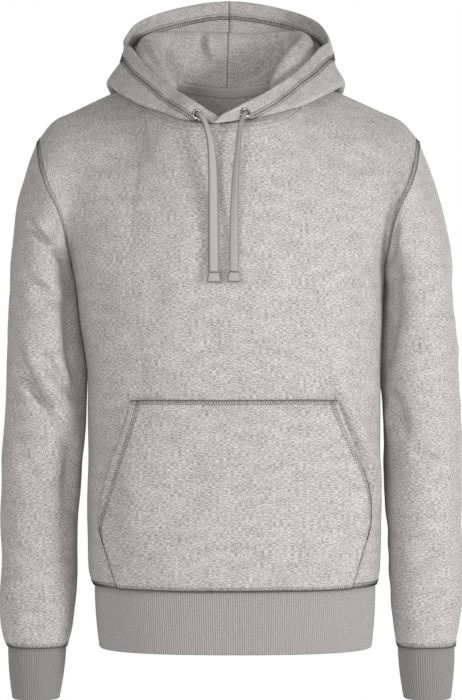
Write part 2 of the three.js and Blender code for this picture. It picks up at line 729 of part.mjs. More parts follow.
const front = panel('front', { neckShare: 0.45, bends: { middle: 35, neck: 60, shoulder: 84 } });
const back = panel('back', { neckShare: 0.4, bends: { middle: 60, neck: 70, shoulder: 84 } });
const sleeves = { right: sleeve('right'), left: sleeve('left') };
const hoods = { right: hoodHalf('right'), left: hoodHalf('left') };
shareNormals([front, back, sleeves.right, sleeves.left, hoods.right, hoods.left]);

add('front_panel', wall(trimmed(front), 0, FLEECE), FLEECE_FINISH);
add('back_panel', wall(trimmed(back), 0, FLEECE), FLEECE_FINISH);
add('pocket', pocket(), FLEECE_FINISH);
add('hem_rib', ribbedTube(HEM_RIB[0], HEM_RIB[1], HEM_RIBS, BODY_SQUARENESS), RIB_FINISH);
add('neck_tape', neckTape(back), TAPE_FINISH);

for (const side of SIDES) {
  add(`sleeve_${side}`, wall(trimmed(sleeves[side]), 0, FLEECE), FLEECE_FINISH);
  const cuff = CUFF.map((row) => sleeveSection(row, side));
  add(`cuff_${side}`, ribbedTube(cuff[0], cuff[1], CUFF_RIBS, SLEEVE_SQUARENESS), RIB_FINISH);

  const hood = trimmed(hoods[side], NECK_SEAM_LIFT);
  const hemFrom = hood.rows.length - HEM_ROWS;
  const hoodInside = (r) => FLEECE / 2 + (r >= hemFrom ? HEM_LAYER : 0);
  add(`hood_${side}`, wall(hood, FLEECE / 2, hoodInside), FLEECE_FINISH);

  const { point, normal } = eyeletFrame(side);
  const ring = add(`eyelet_${side}`, eyelet(), METAL_FINISH);
  ring.position.copy(point).addScaledVector(normal, FLEECE / 2 + SEAM_GAP);
  ring.quaternion.setFromUnitVectors(vec(0, 1, 0), normal);

  add(`drawcord_${side}`, cord(side), CORD_FINISH);
  const end = CORD_ROUTES[side][CORD_ROUTES[side].length - 1];
  const tipMesh = add(`cord_tip_${side}`, tip(), TIP_FINISH);
  tipMesh.rotation.x = -Math.PI / 2;
  tipMesh.position.set(end[0], end[1], end[2] - SEAM_GAP);
}

export default hoodie;
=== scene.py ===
"""Sews a marled fleece pullover hoodie round its packed pattern pieces, and sets up a pale studio."""

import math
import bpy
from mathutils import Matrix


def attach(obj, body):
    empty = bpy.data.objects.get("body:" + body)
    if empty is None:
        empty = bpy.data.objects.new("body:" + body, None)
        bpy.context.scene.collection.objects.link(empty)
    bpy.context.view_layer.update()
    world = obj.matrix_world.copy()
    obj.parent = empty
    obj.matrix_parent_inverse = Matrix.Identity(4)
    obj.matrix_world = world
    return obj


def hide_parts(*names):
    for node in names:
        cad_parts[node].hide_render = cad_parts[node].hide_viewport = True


bl_info = {
    "name": "Pullover Hoodie",
    "version": (1, 0, 0),
    "blender": (4, 5, 0),
    "location": "3D View > Sidebar > Hoodie",
    "description": "Sews a marled fleece pullover hoodie in the shape that it has when it is worn",
    "category": "Add Mesh",
}

import bpy
import numpy as np
from bpy.props import FloatProperty, FloatVectorProperty, PointerProperty
from mathutils import Vector

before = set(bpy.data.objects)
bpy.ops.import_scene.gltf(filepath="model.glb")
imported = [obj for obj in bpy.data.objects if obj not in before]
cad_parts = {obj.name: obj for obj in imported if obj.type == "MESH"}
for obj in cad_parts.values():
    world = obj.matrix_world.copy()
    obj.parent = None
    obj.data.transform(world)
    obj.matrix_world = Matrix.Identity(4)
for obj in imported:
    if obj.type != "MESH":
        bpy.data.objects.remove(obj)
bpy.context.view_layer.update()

# The garment's tables are in millimetres. +Z is up, the front faces -Y and the wearer's left side is +X.
MM = 0.001
SIDES = ("right", "left")
SIGN = {"right": -1.0, "left": 1.0}

# How closely the cloth is divided
BODY_ROWS = 98
SHOULDER_STEPS = 44
BACK_NECK_STEPS = 54
FRONT_NECK_STEPS = 62
ARMHOLE_STEPS = 60
CAP_ROWS = 54
SLEEVE_ROWS = 118
HOOD_ROWS = 132
POCKET_ROWS = 66
POCKET_COLUMNS = 92
FINE_STEPS = 800

BODY_SQUARENESS = 2.5
SLEEVE_SQUARENESS = 2.2


def table(columns, *rows):
    """A table whose columns have names, one row for each section or station."""
    return {name: np.array(values, float) for name, values in zip(columns.split(), zip(*rows))}


# Level sections of the body, from the hem seam up to the armpits
BODY = table(
    "z x half front back",
    (-616, 5, 176.3, 122, 117),
    (-598, 4.3, 181.4, 126, 121),
    (-550, 4.4, 183, 127.5, 121),
    (-480, 4.4, 183, 127, 118),
    (-406, 4, 181.5, 126, 116),
    (-350, 3.8, 182.4, 126.5, 117),
    (-290, 0.3, 187.6, 129, 120),
    (-250, -1.3, 191.4, 131, 123),
    (-222, -3.4, 194.5, 132, 125),
)
HEM_RIB = table("z x half front back", (-616.3, 5, 175.2, 121.2, 116.2), (-694, 5.6, 169.8, 118, 113))
HEM_RIBS = 352

# An armhole from the armpit up to the shoulder: how far out, and how far before and behind
ARMHOLE = table(
    "z out front back",
    (-222, 194.5, 0, 0),
    (-203, 197.5, -42, 48),
    (-174, 202.5, -66, 74),
    (-150, 210, -73, 82),
    (-124, 223.5, -67, 78),
    (-95, 233.5, -44, 56),
    (-64, 239.5, 8, 8),
)
ARMHOLE_X = -3.4
ARMHOLE_PULL = 5
EVENING_ROUNDS = 110

# A shoulder seam from the neck to the armhole
SHOULDER = table(
    "out y z", (90, 12, 20), (146, 12, -4), (190, 11, -24.5), (218, 10, -38), (239.5, 8, -64)
)

# The neck seam from the middle of the back, round one side, to the middle of the front
NECK = table(
    "out y z",
    (0, 78, 10),
    (39.5, 71.5, 13),
    (73, 48, 18),
    (90, 12, 20),
    (96, -22, 0),
    (95, -54, -24),
    (77, -84, -41),
    (43, -104, -50.5),
    (0, -111, -52.5),
)
NECK_SHOULDER_ROW = 3

# Level sections of the sleeves, from the cuff seam up; right and left give the middle of each
SLEEVE = table(
    "z right right_half left left_half y depth",
    (-693, -241.4, 37.2, 243.4, 36.4, -9, 38.5),
    (-660, -241.5, 44.8, 243.8, 42.5, -7, 46),
    (-613, -240.1, 47, 243.1, 45.6, -4, 51),
    (-540, -238.3, 48.9, 242, 46.8, 1, 56),
    (-460, -235, 50.8, 239.9, 48.6, 6, 63),
    (-406, -232.4, 51.1, 239.3, 48, 8, 68),
    (-352, -230.6, 50.9, 236.2, 49, 10, 73),
    (-300, -233, 46.3, 235.4, 47, 10, 78),
    (-250, -235, 41.2, 234.3, 42.9, 10, 82),
)
CAP = {"lean": 0.02, "gain": 0.42, "leaving": 0.4, "arriving": 0.35}
CUFF = table(
    "z right right_half left left_half y depth",
    (-693.3, -241.5, 36.4, 243.2, 35.6, -9, 37.4),
    (-758, -242.9, 29.4, 244.4, 29.4, -12, 31),
)
CUFF_RIBS = 76

# The pocket's outline from its hem seam to its top seam
POCKET = table(
    "z half",
    (-615.2, 142.5),
    (-598, 148),
    (-578, 154),
    (-541, 165),
    (-520, 162.5),
    (-500, 158),
    (-470, 149),
    (-440, 139),
    (-415, 131.5),
    (-386, 124.5),
)
POCKET_MOUTH_END = -541
POCKET_LIFT = 11
POCKET_FULLNESS = 0.7
POCKET_MOUTH_REACH = 4
POCKET_BASE = 0.5
MOUTH_LIFT = {"right": 6, "left": 12}
# The rows of stitches along the pocket's mouths: heights, and distances from the mouths' edges
MOUTH_STITCHES = {
    "right": ((-562, 2.6), (-541, 8), (-520, 14.5), (-495, 16), (-450, 15.5), (-394, 12)),
    "left": ((-556, 3.2), (-517, 5), (-487, 5), (-440, 7.3), (-392, 9.8)),
}

# The hood's lines, by the share of the neck seam from the middle of the back to that of the front
HOOD_RIDGE = table(
    "share out y z roll",
    (0, 0, 105, 83, 12),
    (0.15, 44, 104, 83, 12),
    (0.3, 84, 93, 83, 12),
    (0.42, 101, 64, 74, 12),
    (0.5, 95, 32, 54, 12),
    (0.6, 80, -2, 30, 11),
    (0.7, 62, -36, 4, 8),
    (0.8, 62, -70, -24, 4),
    (0.9, 35, -94, -41, 3),
    (1, 3, -107, -51, 2),
)
HOOD_BAG = table(
    "share out y z roll drop",
    (0, 0, 143, -112, 15, 0),
    (0.15, 50, 139, -106, 15, 0),
    (0.3, 100, 118, -72, 14, 0),
    (0.42, 131, 75, -22, 13, 3),
    (0.5, 141, 10, 7, 15, 5),
    (0.6, 126, -30, -5, 12, 3),
    (0.7, 100, -64, -23, 8, 0),
    (0.8, 74, -84, -33, 4, 0),
    (0.9, 40, -108, -44, 3, 0),
    (1, 2, -118, -51, 2, 0),
)
HOOD_RIM = table(
    "share out y z",
    (0, 0, 145, 129),
    (0.15, 68, 138, 118.7),
    (0.3, 115.6, 98, 96.5),
    (0.42, 130, 52, 68),
    (0.5, 118, 22, 55),
    (0.6, 101, -12, 33),
    (0.7, 84, -42, 15),
    (0.8, 58, -76, -6),
    (0.9, 30, -104, -24),
    (1, 1, -120, -42),
)
HOOD_FACING = table(
    "share degrees",
    (0, 90),
    (0.15, 78),
    (0.3, 52),
    (0.42, 22),
    (0.5, 2),
    (0.6, -22),
    (0.7, -42),
    (0.8, -60),
    (0.9, -76),
    (1, -88),
)
LAP_START = 0.86
LAP = {"right": {"out": 3, "y": 6, "rim": 1.0}, "left": {"out": -12, "y": -7, "rim": 0.2}}
LAP_RIDGE = 0.6
CORNER_CUTS = 4
# The marl's streaks are this much shorter on the hood
HOOD_GRAIN = 1.8
HEM_LIMIT = 0.62

EYELET_SHARE = {"right": 0.925, "left": 0.915}
EYELET_DOWN = 13

# Each cord's route in metres, from its eyelet down the chest
CORD_ROUTES = {
    "right": (
        (-0.0380, -0.1185, -0.0410),
        (-0.0305, -0.1255, -0.0530),
        (-0.0240, -0.1325, -0.0780),
        (-0.0216, -0.1360, -0.1110),
        (-0.0210, -0.1380, -0.1570),
        (-0.0206, -0.1390, -0.2000),
        (-0.0204, -0.1395, -0.2310),
    ),
    "left": (
        (0.0150, -0.1195, -0.0440),
        (0.0112, -0.1265, -0.0560),
        (0.0082, -0.1330, -0.0840),
        (0.0052, -0.1370, -0.1210),
        (0.0038, -0.1390, -0.1630),
        (0.0036, -0.1400, -0.2030),
        (0.0036, -0.1405, -0.2305),
    ),
}
# The visible cord starts in its eyelet's hole, a little out of the cloth
CORD_START = 0.6
CORD_STEPS = 72
CORD_SIDES = 20
# How a cord is bunched in its eyelet and turns on its way down: shares of its width, millimetres, degrees
CORD_FORM = {
    "right": table("share width thick turn", (0, 0.5, 5, 30), (0.08, 0.56, 4.6, 26), (0.2, 0.72, 3.6, 18),
                   (0.4, 0.94, 2.9, 10), (0.7, 1.06, 2.8, 4), (1, 1.08, 2.8, 0)),
    "left": table("share width thick turn", (0, 0.5, 5, -46), (0.08, 0.56, 4.6, -46), (0.2, 0.64, 4, -44),
                  (0.45, 0.78, 3.2, -34), (0.7, 0.86, 2.9, -18), (1, 0.9, 2.8, -10)),
}

# Creases and folds: the face that they lie on, the way they run as x and z, their half width,
# their depth (below zero is a trough) and how far they roll into a ridge on one side. On the hood, "near"
# is the wall behind the neck and "rim" the far wall, both seen from inside, and "outer" is its back.
CREASES = {
    "front_panel": (
        ("front", ((112, -338), (131, -400), (160, -468), (172, -530)), 9, -5.5, 0.6),
        ("front", ((-190, -218), (-158, -240), (-118, -250)), 9, -2.6, 0.4),
        ("front", ((-186, -246), (-150, -282), (-112, -300)), 12, -2.0, -0.4),
        ("front", ((188, -214), (160, -244), (120, -262)), 10, -2.6, -0.4),
        ("front", ((184, -250), (152, -296), (128, -330)), 12, -2.0, 0.3),
        ("front", ((-88, -170), (-96, -250), (-84, -330)), 18, -1.8, 0.5),
        ("front", ((60, -160), (78, -250), (70, -340)), 20, -1.6, -0.4),
        ("front", ((-178, -420), (-150, -500), (-150, -590)), 13, -2.4, 0.3),
        ("front", ((176, -470), (160, -540), (152, -606)), 9, -2.4, -0.3),
        ("front", ((-205, -86), (-150, -96), (-104, -82)), 14, -1.8, 0.3),
        ("front", ((204, -84), (150, -98), (112, -84)), 13, -1.7, -0.3),
        ("front", ((-150, -340), (-80, -366), (20, -372)), 16, -1.2, 0.4),
    ),
    "back_panel": (
        ("back", ((-150, -210), (-90, -262), (-20, -292)), 15, -3.4, 0.4),
        ("back", ((160, -206), (104, -264), (40, -300)), 14, -3.2, -0.4),
        ("back", ((-172, -330), (-100, -372), (-10, -384)), 17, -3.0, 0.4),
        ("back", ((176, -350), (108, -396), (30, -404)), 16, -3.2, -0.4),
        ("back", ((-166, -440), (-86, -474), (12, -470)), 15, -3.4, 0.5),
        ("back", ((170, -466), (104, -508), (26, -516)), 15, -3.0, -0.4),
        ("back", ((-160, -560), (-92, -580), (-30, -566)), 11, -2.4, 0.3),
        ("back", ((154, -572), (84, -590), (20, -580)), 10, -2.2, 0.3),
        ("back", ((-60, -110), (-70, -200), (-52, -300)), 22, -2.2, 0.4),
        ("back", ((70, -130), (84, -220), (66, -330)), 20, -2.0, -0.4),
        ("back", ((-208, -110), (-170, -160), (-150, -240)), 13, -2.6, 0.4),
        ("back", ((204, -110), (170, -164), (146, -250)), 13, -2.6, -0.4),
    ),
    "sleeve_right": (
        ("front", ((-252, -166), (-232, -188), (-199, -216)), 5.5, -6.5, 0.5),
        ("front", ((-217, -160), (-211, -188), (-203, -226)), 7, -6.5, 0.2),
        ("front", ((-205, -200), (-200, -270), (-191, -360), (-188, -400)), 10, -8, 0),
        ("front", ((-274, -306), (-250, -360), (-200, -446)), 9, -6.5, 0.6),
        ("front", ((-236, -322), (-214, -354), (-190, -388)), 6, -5, 0.4),
        ("front", ((-262, -226), (-232, -250), (-203, -276)), 7, -4, 0.4),
        ("front", ((-256, -350), (-240, -380), (-222, -400)), 5, -3.4, -0.4),
        ("front", ((-276, -268), (-246, -286), (-212, -292)), 10, -2.6, 0.4),
        ("front", ((-205, -420), (-199, -470), (-202, -530)), 9, -4.5, 0.3),
        ("front", ((-274, -420), (-250, -470), (-214, -520)), 12, -2.4, -0.4),
        ("front", ((-270, -560), (-240, -588), (-212, -596)), 10, -2.2, 0.4),
        ("front", ((-276, -636), (-246, -650), (-214, -642)), 9, -2.4, 0.3),
        ("back", ((-270, -300), (-236, -330), (-200, -340)), 10, -3.4, 0.4),
        ("back", ((-276, -372), (-240, -402), (-204, -410)), 11, -3.6, -0.4),
        ("back", ((-270, -440), (-236, -462), (-204, -458)), 9, -3.0, 0.3),
        ("back", ((-268, -560), (-240, -600), (-214, -620)), 12, -2.6, 0.4),
        ("back", ((-240, -180), (-226, -214), (-208, -240)), 8, -3.4, 0.3),
    ),
    "sleeve_left": (
        ("front", ((206, -194), (216, -190), (228, -186)), 4, -1.6, 0.3),
        ("front", ((201, -162), (198, -188), (195, -224)), 7, -6, 0.2),
        ("front", ((203, -200), (202, -260), (195, -330), (191, -370)), 7, -5, 0),
        ("front", ((222, -448), (244, -458), (268, -466)), 6, -4.2, 0.4),
        ("front", ((196, -366), (204, -398), (218, -436)), 8, -5.5, -0.3),
        ("front", ((274, -266), (250, -286), (220, -296)), 11, -2.6, 0.4),
        ("front", ((280, -330), (256, -360), (230, -372)), 12, -2.4, -0.4),
        ("front", ((272, -548), (246, -576), (220, -590)), 11, -2.2, 0.4),
        ("front", ((276, -634), (250, -648), (222, -644)), 9, -2.4, 0.3),
        ("back", ((276, -310), (240, -336), (206, -344)), 10, -3.2, 0.4),
        ("back", ((278, -384), (244, -410), (208, -414)), 11, -3.6, -0.4),
        ("back", ((272, -470), (240, -488), (210, -482)), 9, -3.0, 0.3),
        ("back", ((270, -590), (244, -620), (218, -634)), 11, -2.6, 0.4),
        ("back", ((236, -180), (224, -214), (206, -240)), 8, -3.2, 0.3),
    ),
    "hood_right": (
        ("near", ((-39, 80), (-35, 64), (-27, 40)), 4.5, -5, 0.5),
        ("near", ((-92, 76), (-80, 46), (-60, 6)), 8, -8, 0),
        ("near", ((-110, 64), (-98, 38), (-80, 4)), 10, 7, 0),
        ("rim", ((-14, 134), (-15, 120), (-16, 104)), 4.5, -1.8, 0.3),
        ("rim", ((-27, 132), (-28, 120), (-31, 108)), 4.5, -1.2, 0.3),
        ("outer", ((-16, 40), (-50, 0), (-84, -20)), 11, -3.4, 0.4),
        ("outer", ((-22, -40), (-56, -66), (-90, -70)), 10, -3.0, -0.3),
    ),
    "hood_left": (
        ("near", ((84, 80), (60, 52), (34, 28), (6, 12)), 9, -10, 0),
        ("near", ((94, 76), (83, 50), (64, 22), (46, -2)), 10, 7, 0),
        ("rim", ((4, 134), (5, 120), (7, 106)), 4.5, -1.5, 0.3),
        ("rim", ((70, 122), (72, 108), (74, 98)), 7, -1.2, 0.3),
        ("outer", ((20, 34), (56, 4), (86, -22)), 11, -3.2, 0.4),
        ("outer", ((26, -50), (60, -70), (88, -66)), 10, -3.0, -0.3),
    ),
    "pocket": (
        ("front", ((-134, -440), (-142, -500), (-128, -580)), 12, -2.2, 0.4),
        ("front", ((130, -430), (144, -500), (140, -590)), 12, -2.4, -0.3),
        ("front", ((-100, -560), (-20, -590), (70, -584)), 14, -1.4, 0.3),
    ),
}
CREASE_STEPS = 20
SEAM_HOLD = 9
# Long waves of all the cloth, and the shorter ones that the sleeves have as well
UNDULATION = {"waves": 7, "shortest": 70, "longest": 190, "height": 0.42, "seed": 11}
WRINKLES = {"waves": 9, "shortest": 26, "longest": 60, "height": 0.19, "seed": 31}
SEAM_ROLL = {"depth": 0.6, "reach": 2.2, "neck": 0.5}


def length_property(name, description, default, **limits):
    return FloatProperty(name=name, description=description, default=default, unit="LENGTH", **limits)


class HoodieSizes(bpy.types.PropertyGroup):
    """Sizes of the cloth, sewing and trimmings."""

    fleece: length_property("Fleece", "Thickness of the fleece", 0.0024, min=0.001)
    rib_knit: length_property("Rib knit", "Thickness of the doubled rib knit", 0.0032)
    rib_relief: length_property("Rib relief", "Depth between two ribs", 0.001)
    hem_width: length_property("Hood hem", "Width of the hem that holds the drawcord", 0.024)
    hem_layer: length_property("Hood hem layer", "Thickness of the turned-in layer", 0.0018)
    tape_width: length_property("Neck tape", "Width of the neck tape", 0.0125)
    tape: length_property("Tape thickness", "Thickness of the neck tape", 0.001)
    stitch: length_property("Stitch", "Length of one stitch of the cover seams", 0.0031)
    thread: length_property("Thread", "Thickness of the sewing thread", 0.00105)
    cover_width: length_property("Cover seam", "Distance between the rows of a cover seam", 0.005)
    cord_width: length_property("Drawcord", "Width of the flat drawcord", 0.0122)
    crease_depth: FloatProperty(
        name="Creases", description="Depth of all creases, as a share of the set depths", default=1.4, min=0.0
    )


def colour_property(name, description, default):
    return FloatVectorProperty(
        name=name, description=description, default=default, size=3, min=0.0, max=1.0, subtype="COLOR"
    )


class HoodieColours(bpy.types.PropertyGroup):
    """Colours of the cloth, thread and trimmings."""

    fleece_light: colour_property("Fleece, light yarn", "The marl's light streaks", (0.515, 0.493, 0.485))
    fleece_dark: colour_property("Fleece, dark yarn", "The marl's dark streaks", (0.12, 0.115, 0.113))
    rib_light: colour_property("Rib, light yarn", "The rib knit's light yarn", (0.36, 0.346, 0.342))
    rib_dark: colour_property("Rib, dark yarn", "The rib knit's dark yarn", (0.15, 0.143, 0.14))
    cord: colour_property("Drawcord", "The woven drawcord", (0.36, 0.345, 0.339))
    tape: colour_property("Neck tape", "The neck tape", (0.3, 0.293, 0.286))
    thread: colour_property("Thread", "The sewing thread", (0.05, 0.048, 0.047))
    pale_thread: colour_property("Pale thread", "The thread of the neck seam", (0.3, 0.29, 0.285))
    metal: colour_property("Eyelets", "The eyelets' dark metal", (0.42, 0.42, 0.425))
    tip: colour_property("Cord tips", "The tips of the drawcord", (0.24, 0.233, 0.227))


def sizes():
    return bpy.context.scene.hoodie_sizes


def colours():
    return bpy.context.scene.hoodie_colours


# Numbers and curves


def smooth(values, start, end):
    """0 up to start, 1 from end, and a soft rise between."""
    t = np.clip((values - start) / (end - start), 0, 1)
    return t * t * (3 - 2 * t)


def mix(a, b, t):
    return a + (b - a) * t


def unit(vectors):
    return vectors / np.maximum(np.linalg.norm(vectors, axis=-1, keepdims=True), 1e-9)


def hermite(a, b, slope_a, slope_b, t):
    return (
        a * (1 - 3 * t**2 + 2 * t**3)
        + slope_a * (t - 2 * t**2 + t**3)
        + b * (3 * t**2 - 2 * t**3)
        + slope_b * (t**3 - t**2)
    )


def read(rows, column, value):
    """The rows of a table at values of one rising column, by a smooth curve through its rows."""
    keys = rows[column]
    value = np.asarray(value, float)
    i = np.clip(np.searchsorted(keys[1:], value), 0, len(keys) - 2)
    before, after = np.maximum(i - 1, 0), np.minimum(i + 2, len(keys) - 1)
    span = keys[i + 1] - keys[i]
    t = (value - keys[i]) / span
    found = {}
    for name, cells in rows.items():
        slope_a = (cells[i + 1] - cells[before]) / (keys[i + 1] - keys[before]) * span
        slope_b = (cells[after] - cells[i]) / (keys[after] - keys[i]) * span
        found[name] = hermite(cells[i], cells[i + 1], slope_a, slope_b, t)
    found[column] = value
    return found


def hood_read(rows, share):
    """A hood line's row, with the line carried on past the middle of the back as its mirror image."""
    mirrored = {name: cells[1] for name, cells in rows.items()}
    mirrored["share"] = -mirrored["share"]
    if "out" in rows:
        mirrored["out"] = -mirrored["out"]
    if "degrees" in rows:
        mirrored["degrees"] = 180 - mirrored["degrees"]
    longer = {name: np.concatenate([[mirrored[name]], cells]) for name, cells in rows.items()}
    return read(longer, "share", share)


def curve(points, shares, closed=False):
    """A smooth line through points, read at shares of it from 0 to 1."""
    points = np.asarray(points, float)
    count = len(points)
    at = np.asarray(shares, float) * (count if closed else count - 1)
    i = np.floor(at).astype(int)
    if closed:
        p0, p1, p2, p3 = (points[(i + k) % count] for k in (-1, 0, 1, 2))
    else:
        i = np.clip(i, 0, count - 2)
        longer = np.vstack([2 * points[0] - points[1], points, 2 * points[-1] - points[-2]])
        p0, p1, p2, p3 = (longer[i + k] for k in (0, 1, 2, 3))
    t = (at - i)[:, None]
    return hermite(p1, p2, (p2 - p0) / 2, (p3 - p1) / 2, t)


def lengths(points):
    """How far along a line each of its points lies."""
    steps = np.linalg.norm(np.diff(points, axis=0), axis=-1)
    return np.concatenate([np.zeros((1,) + steps.shape[1:]), np.cumsum(steps, axis=0)])


def evenly(shares, points, steps):
    """The shares that space points evenly along a line."""
    along = lengths(points)
    return np.interp(np.linspace(0, along[-1], steps + 1), along, shares)


def even_curve(points, start, end, steps, closed=False):
    shares = np.linspace(start, end, FINE_STEPS + 1)
    return curve(points, evenly(shares, curve(points, shares, closed), steps), closed)


def resampled(line, steps):
    """A line with its points spaced evenly."""
    along = lengths(line)
    at = np.linspace(0, along[-1], steps + 1)
    return np.stack([np.interp(at, along, line[:, k]) for k in range(3)], axis=-1)


def section_point(section, share, squareness):
    """A level section's points. The share runs from the wearer's right side, by the front, to the left."""
    angle = 2 * np.pi * np.asarray(share)
    across, ahead = (np.sign(v) * np.abs(v) ** (2 / squareness) for v in (np.cos(angle), np.sin(angle)))
    depth = np.where(ahead > 0, section["front"], section["back"])
    x = section["x"] - section["half"] * across
    y = section.get("y", 0.0) - depth * ahead
    return np.stack(np.broadcast_arrays(x, y, section["z"]), axis=-1)


def even_shares(section, squareness, start, end, steps):
    shares = np.linspace(start, end, FINE_STEPS + 1)
    return evenly(shares, section_point(section, shares, squareness), steps)


# Cloth


class Cloth:
    """A sheet of cloth: a grid of points, the way out of it at each, and each point's place laid flat."""

    def __init__(self, points, flat, flip=False, closed=False):
        self.points = points
        self.flat = flat
        self.flip = flip
        self.closed = closed
        self.find_normals()

    def find_normals(self):
        points = self.points
        if self.closed:
            across = np.roll(points, -1, axis=1) - np.roll(points, 1, axis=1)
        else:
            across = np.gradient(points, axis=1)
        up = np.gradient(points, axis=0)
        self.normals = unit(np.cross(across, up)) * (-1 if self.flip else 1)

    def from_edges(self):
        """Distances over the cloth from the first row, last row, first column and last column."""
        down = lengths(self.points)
        over = lengths(self.points.swapaxes(0, 1)).T
        return down, down[-1] - down, over, over[:, -1:] - over

    def thicken(self, outside, inside):
        shape = self.points.shape[:2]
        self.outside = np.broadcast_to(outside, shape)
        self.inside = np.broadcast_to(inside, shape)

    def face(self, way):
        if way == "outside":
            return self.points + self.normals * self.outside[..., None]
        return self.points - self.normals * self.inside[..., None]

    def read(self, rows, columns, way="outside", lift=0.0):
        """Points and outward directions on one face, at places given in rows and columns."""
        surface, outward = self.face(way), self.normals * (1 if way == "outside" else -1)
        height, width = surface.shape[:2]
        rows = np.clip(rows, 0, height - 1)
        r = np.minimum(rows.astype(int), height - 2)
        if self.closed:
            columns = columns % width
            c = columns.astype(int)
            beyond = (c + 1) % width
        else:
            columns = np.clip(columns, 0, width - 1)
            c = np.minimum(columns.astype(int), width - 2)
            beyond = c + 1
        s, t = (rows - r)[:, None], (columns - c)[:, None]
        blended = []
        for grid in (surface, outward):
            low = mix(grid[r, c], grid[r, beyond], t)
            high = mix(grid[r + 1, c], grid[r + 1, beyond], t)
            blended.append(mix(low, high, s))
        direction = unit(blended[1])
        return blended[0] + direction * lift, direction


def laid_flat(points, start):
    """Each point's place laid flat: its distance over its row from one column, and up its own column."""
    over = lengths(points.swapaxes(0, 1)).T
    return np.stack([over - over[:, start : start + 1], lengths(points)], axis=-1)


def share_normals(cloths):
    """Where pieces meet at the same point of a seam, they get the same normal."""
    sums = {}
    edges = []
    for cloth in cloths:
        height, width = cloth.points.shape[:2]
        on_edge = np.zeros((height, width), bool)
        on_edge[[0, -1]] = True
        if not cloth.closed:
            on_edge[:, [0, -1]] = True
        for r, c in zip(*np.nonzero(on_edge)):
            key = tuple(np.round(cloth.points[r, c] * 20).astype(int))
            edges.append((cloth, r, c, key))
            sums[key] = sums.get(key, 0) + cloth.normals[r, c]
    for cloth, r, c, key in edges:
        cloth.normals[r, c] = unit(sums[key])


def neck_x(y):
    """The middle of the neck and hood moves a little to the wearer's right towards the front."""
    return -7.5 + 0.035 * y


def neck_runs(side):
    def placed(rows, way):
        return np.stack([neck_x(rows["y"]) + way * rows["out"], rows["y"], rows["z"]], axis=-1)

    there = placed(NECK, SIGN[side])
    back = placed(NECK, -SIGN[side])[1:-1][::-1]
    ring = np.vstack([there, back])
    shoulder = NECK_SHOULDER_ROW / len(ring)
    return {
        "back": even_curve(ring, 0, shoulder, BACK_NECK_STEPS, closed=True),
        "front": even_curve(ring, shoulder, (len(there) - 1) / len(ring), FRONT_NECK_STEPS, closed=True),
    }


def armhole_runs(side):
    def placed(face):
        return np.stack([ARMHOLE_X + SIGN[side] * ARMHOLE["out"], ARMHOLE[face], ARMHOLE["z"]], axis=-1)

    ring = np.vstack([placed("front"), placed("back")[1:-1][::-1]])
    return {
        "front": even_curve(ring, 0, 0.5, ARMHOLE_STEPS, closed=True),
        "back": even_curve(ring, 1, 0.5, ARMHOLE_STEPS, closed=True),
    }


def shoulder_run(side):
    steps = np.linspace(0, 1, len(SHOULDER["out"]))
    middle = mix(neck_x(SHOULDER["y"][0]), ARMHOLE_X, steps)
    points = np.stack([middle + SIGN[side] * SHOULDER["out"], SHOULDER["y"], SHOULDER["z"]], axis=-1)
    return even_curve(points, 0, 1, SHOULDER_STEPS)


NECK_RUNS = {side: neck_runs(side) for side in SIDES}
ARMHOLE_RUNS = {side: armhole_runs(side) for side in SIDES}
SHOULDER_RUNS = {side: shoulder_run(side) for side in SIDES}


def evened(points):
    """The depths of a panel's points, evened out away from its seams."""
    down, up, left, right = Cloth(points, None).from_edges()
    hold = smooth(np.minimum.reduce([down, up, left, right]), 3, 45)
    depths = points[..., 1].copy()
    for _ in range(EVENING_ROUNDS):
        wide = np.pad(depths, 1, mode="edge")
        spread = (wide[1:-1, :-2] + wide[1:-1, 2:]) * 0.35 + (wide[:-2, 1:-1] + wide[2:, 1:-1]) * 0.15
        depths = mix(depths, spread, hold)
    return depths


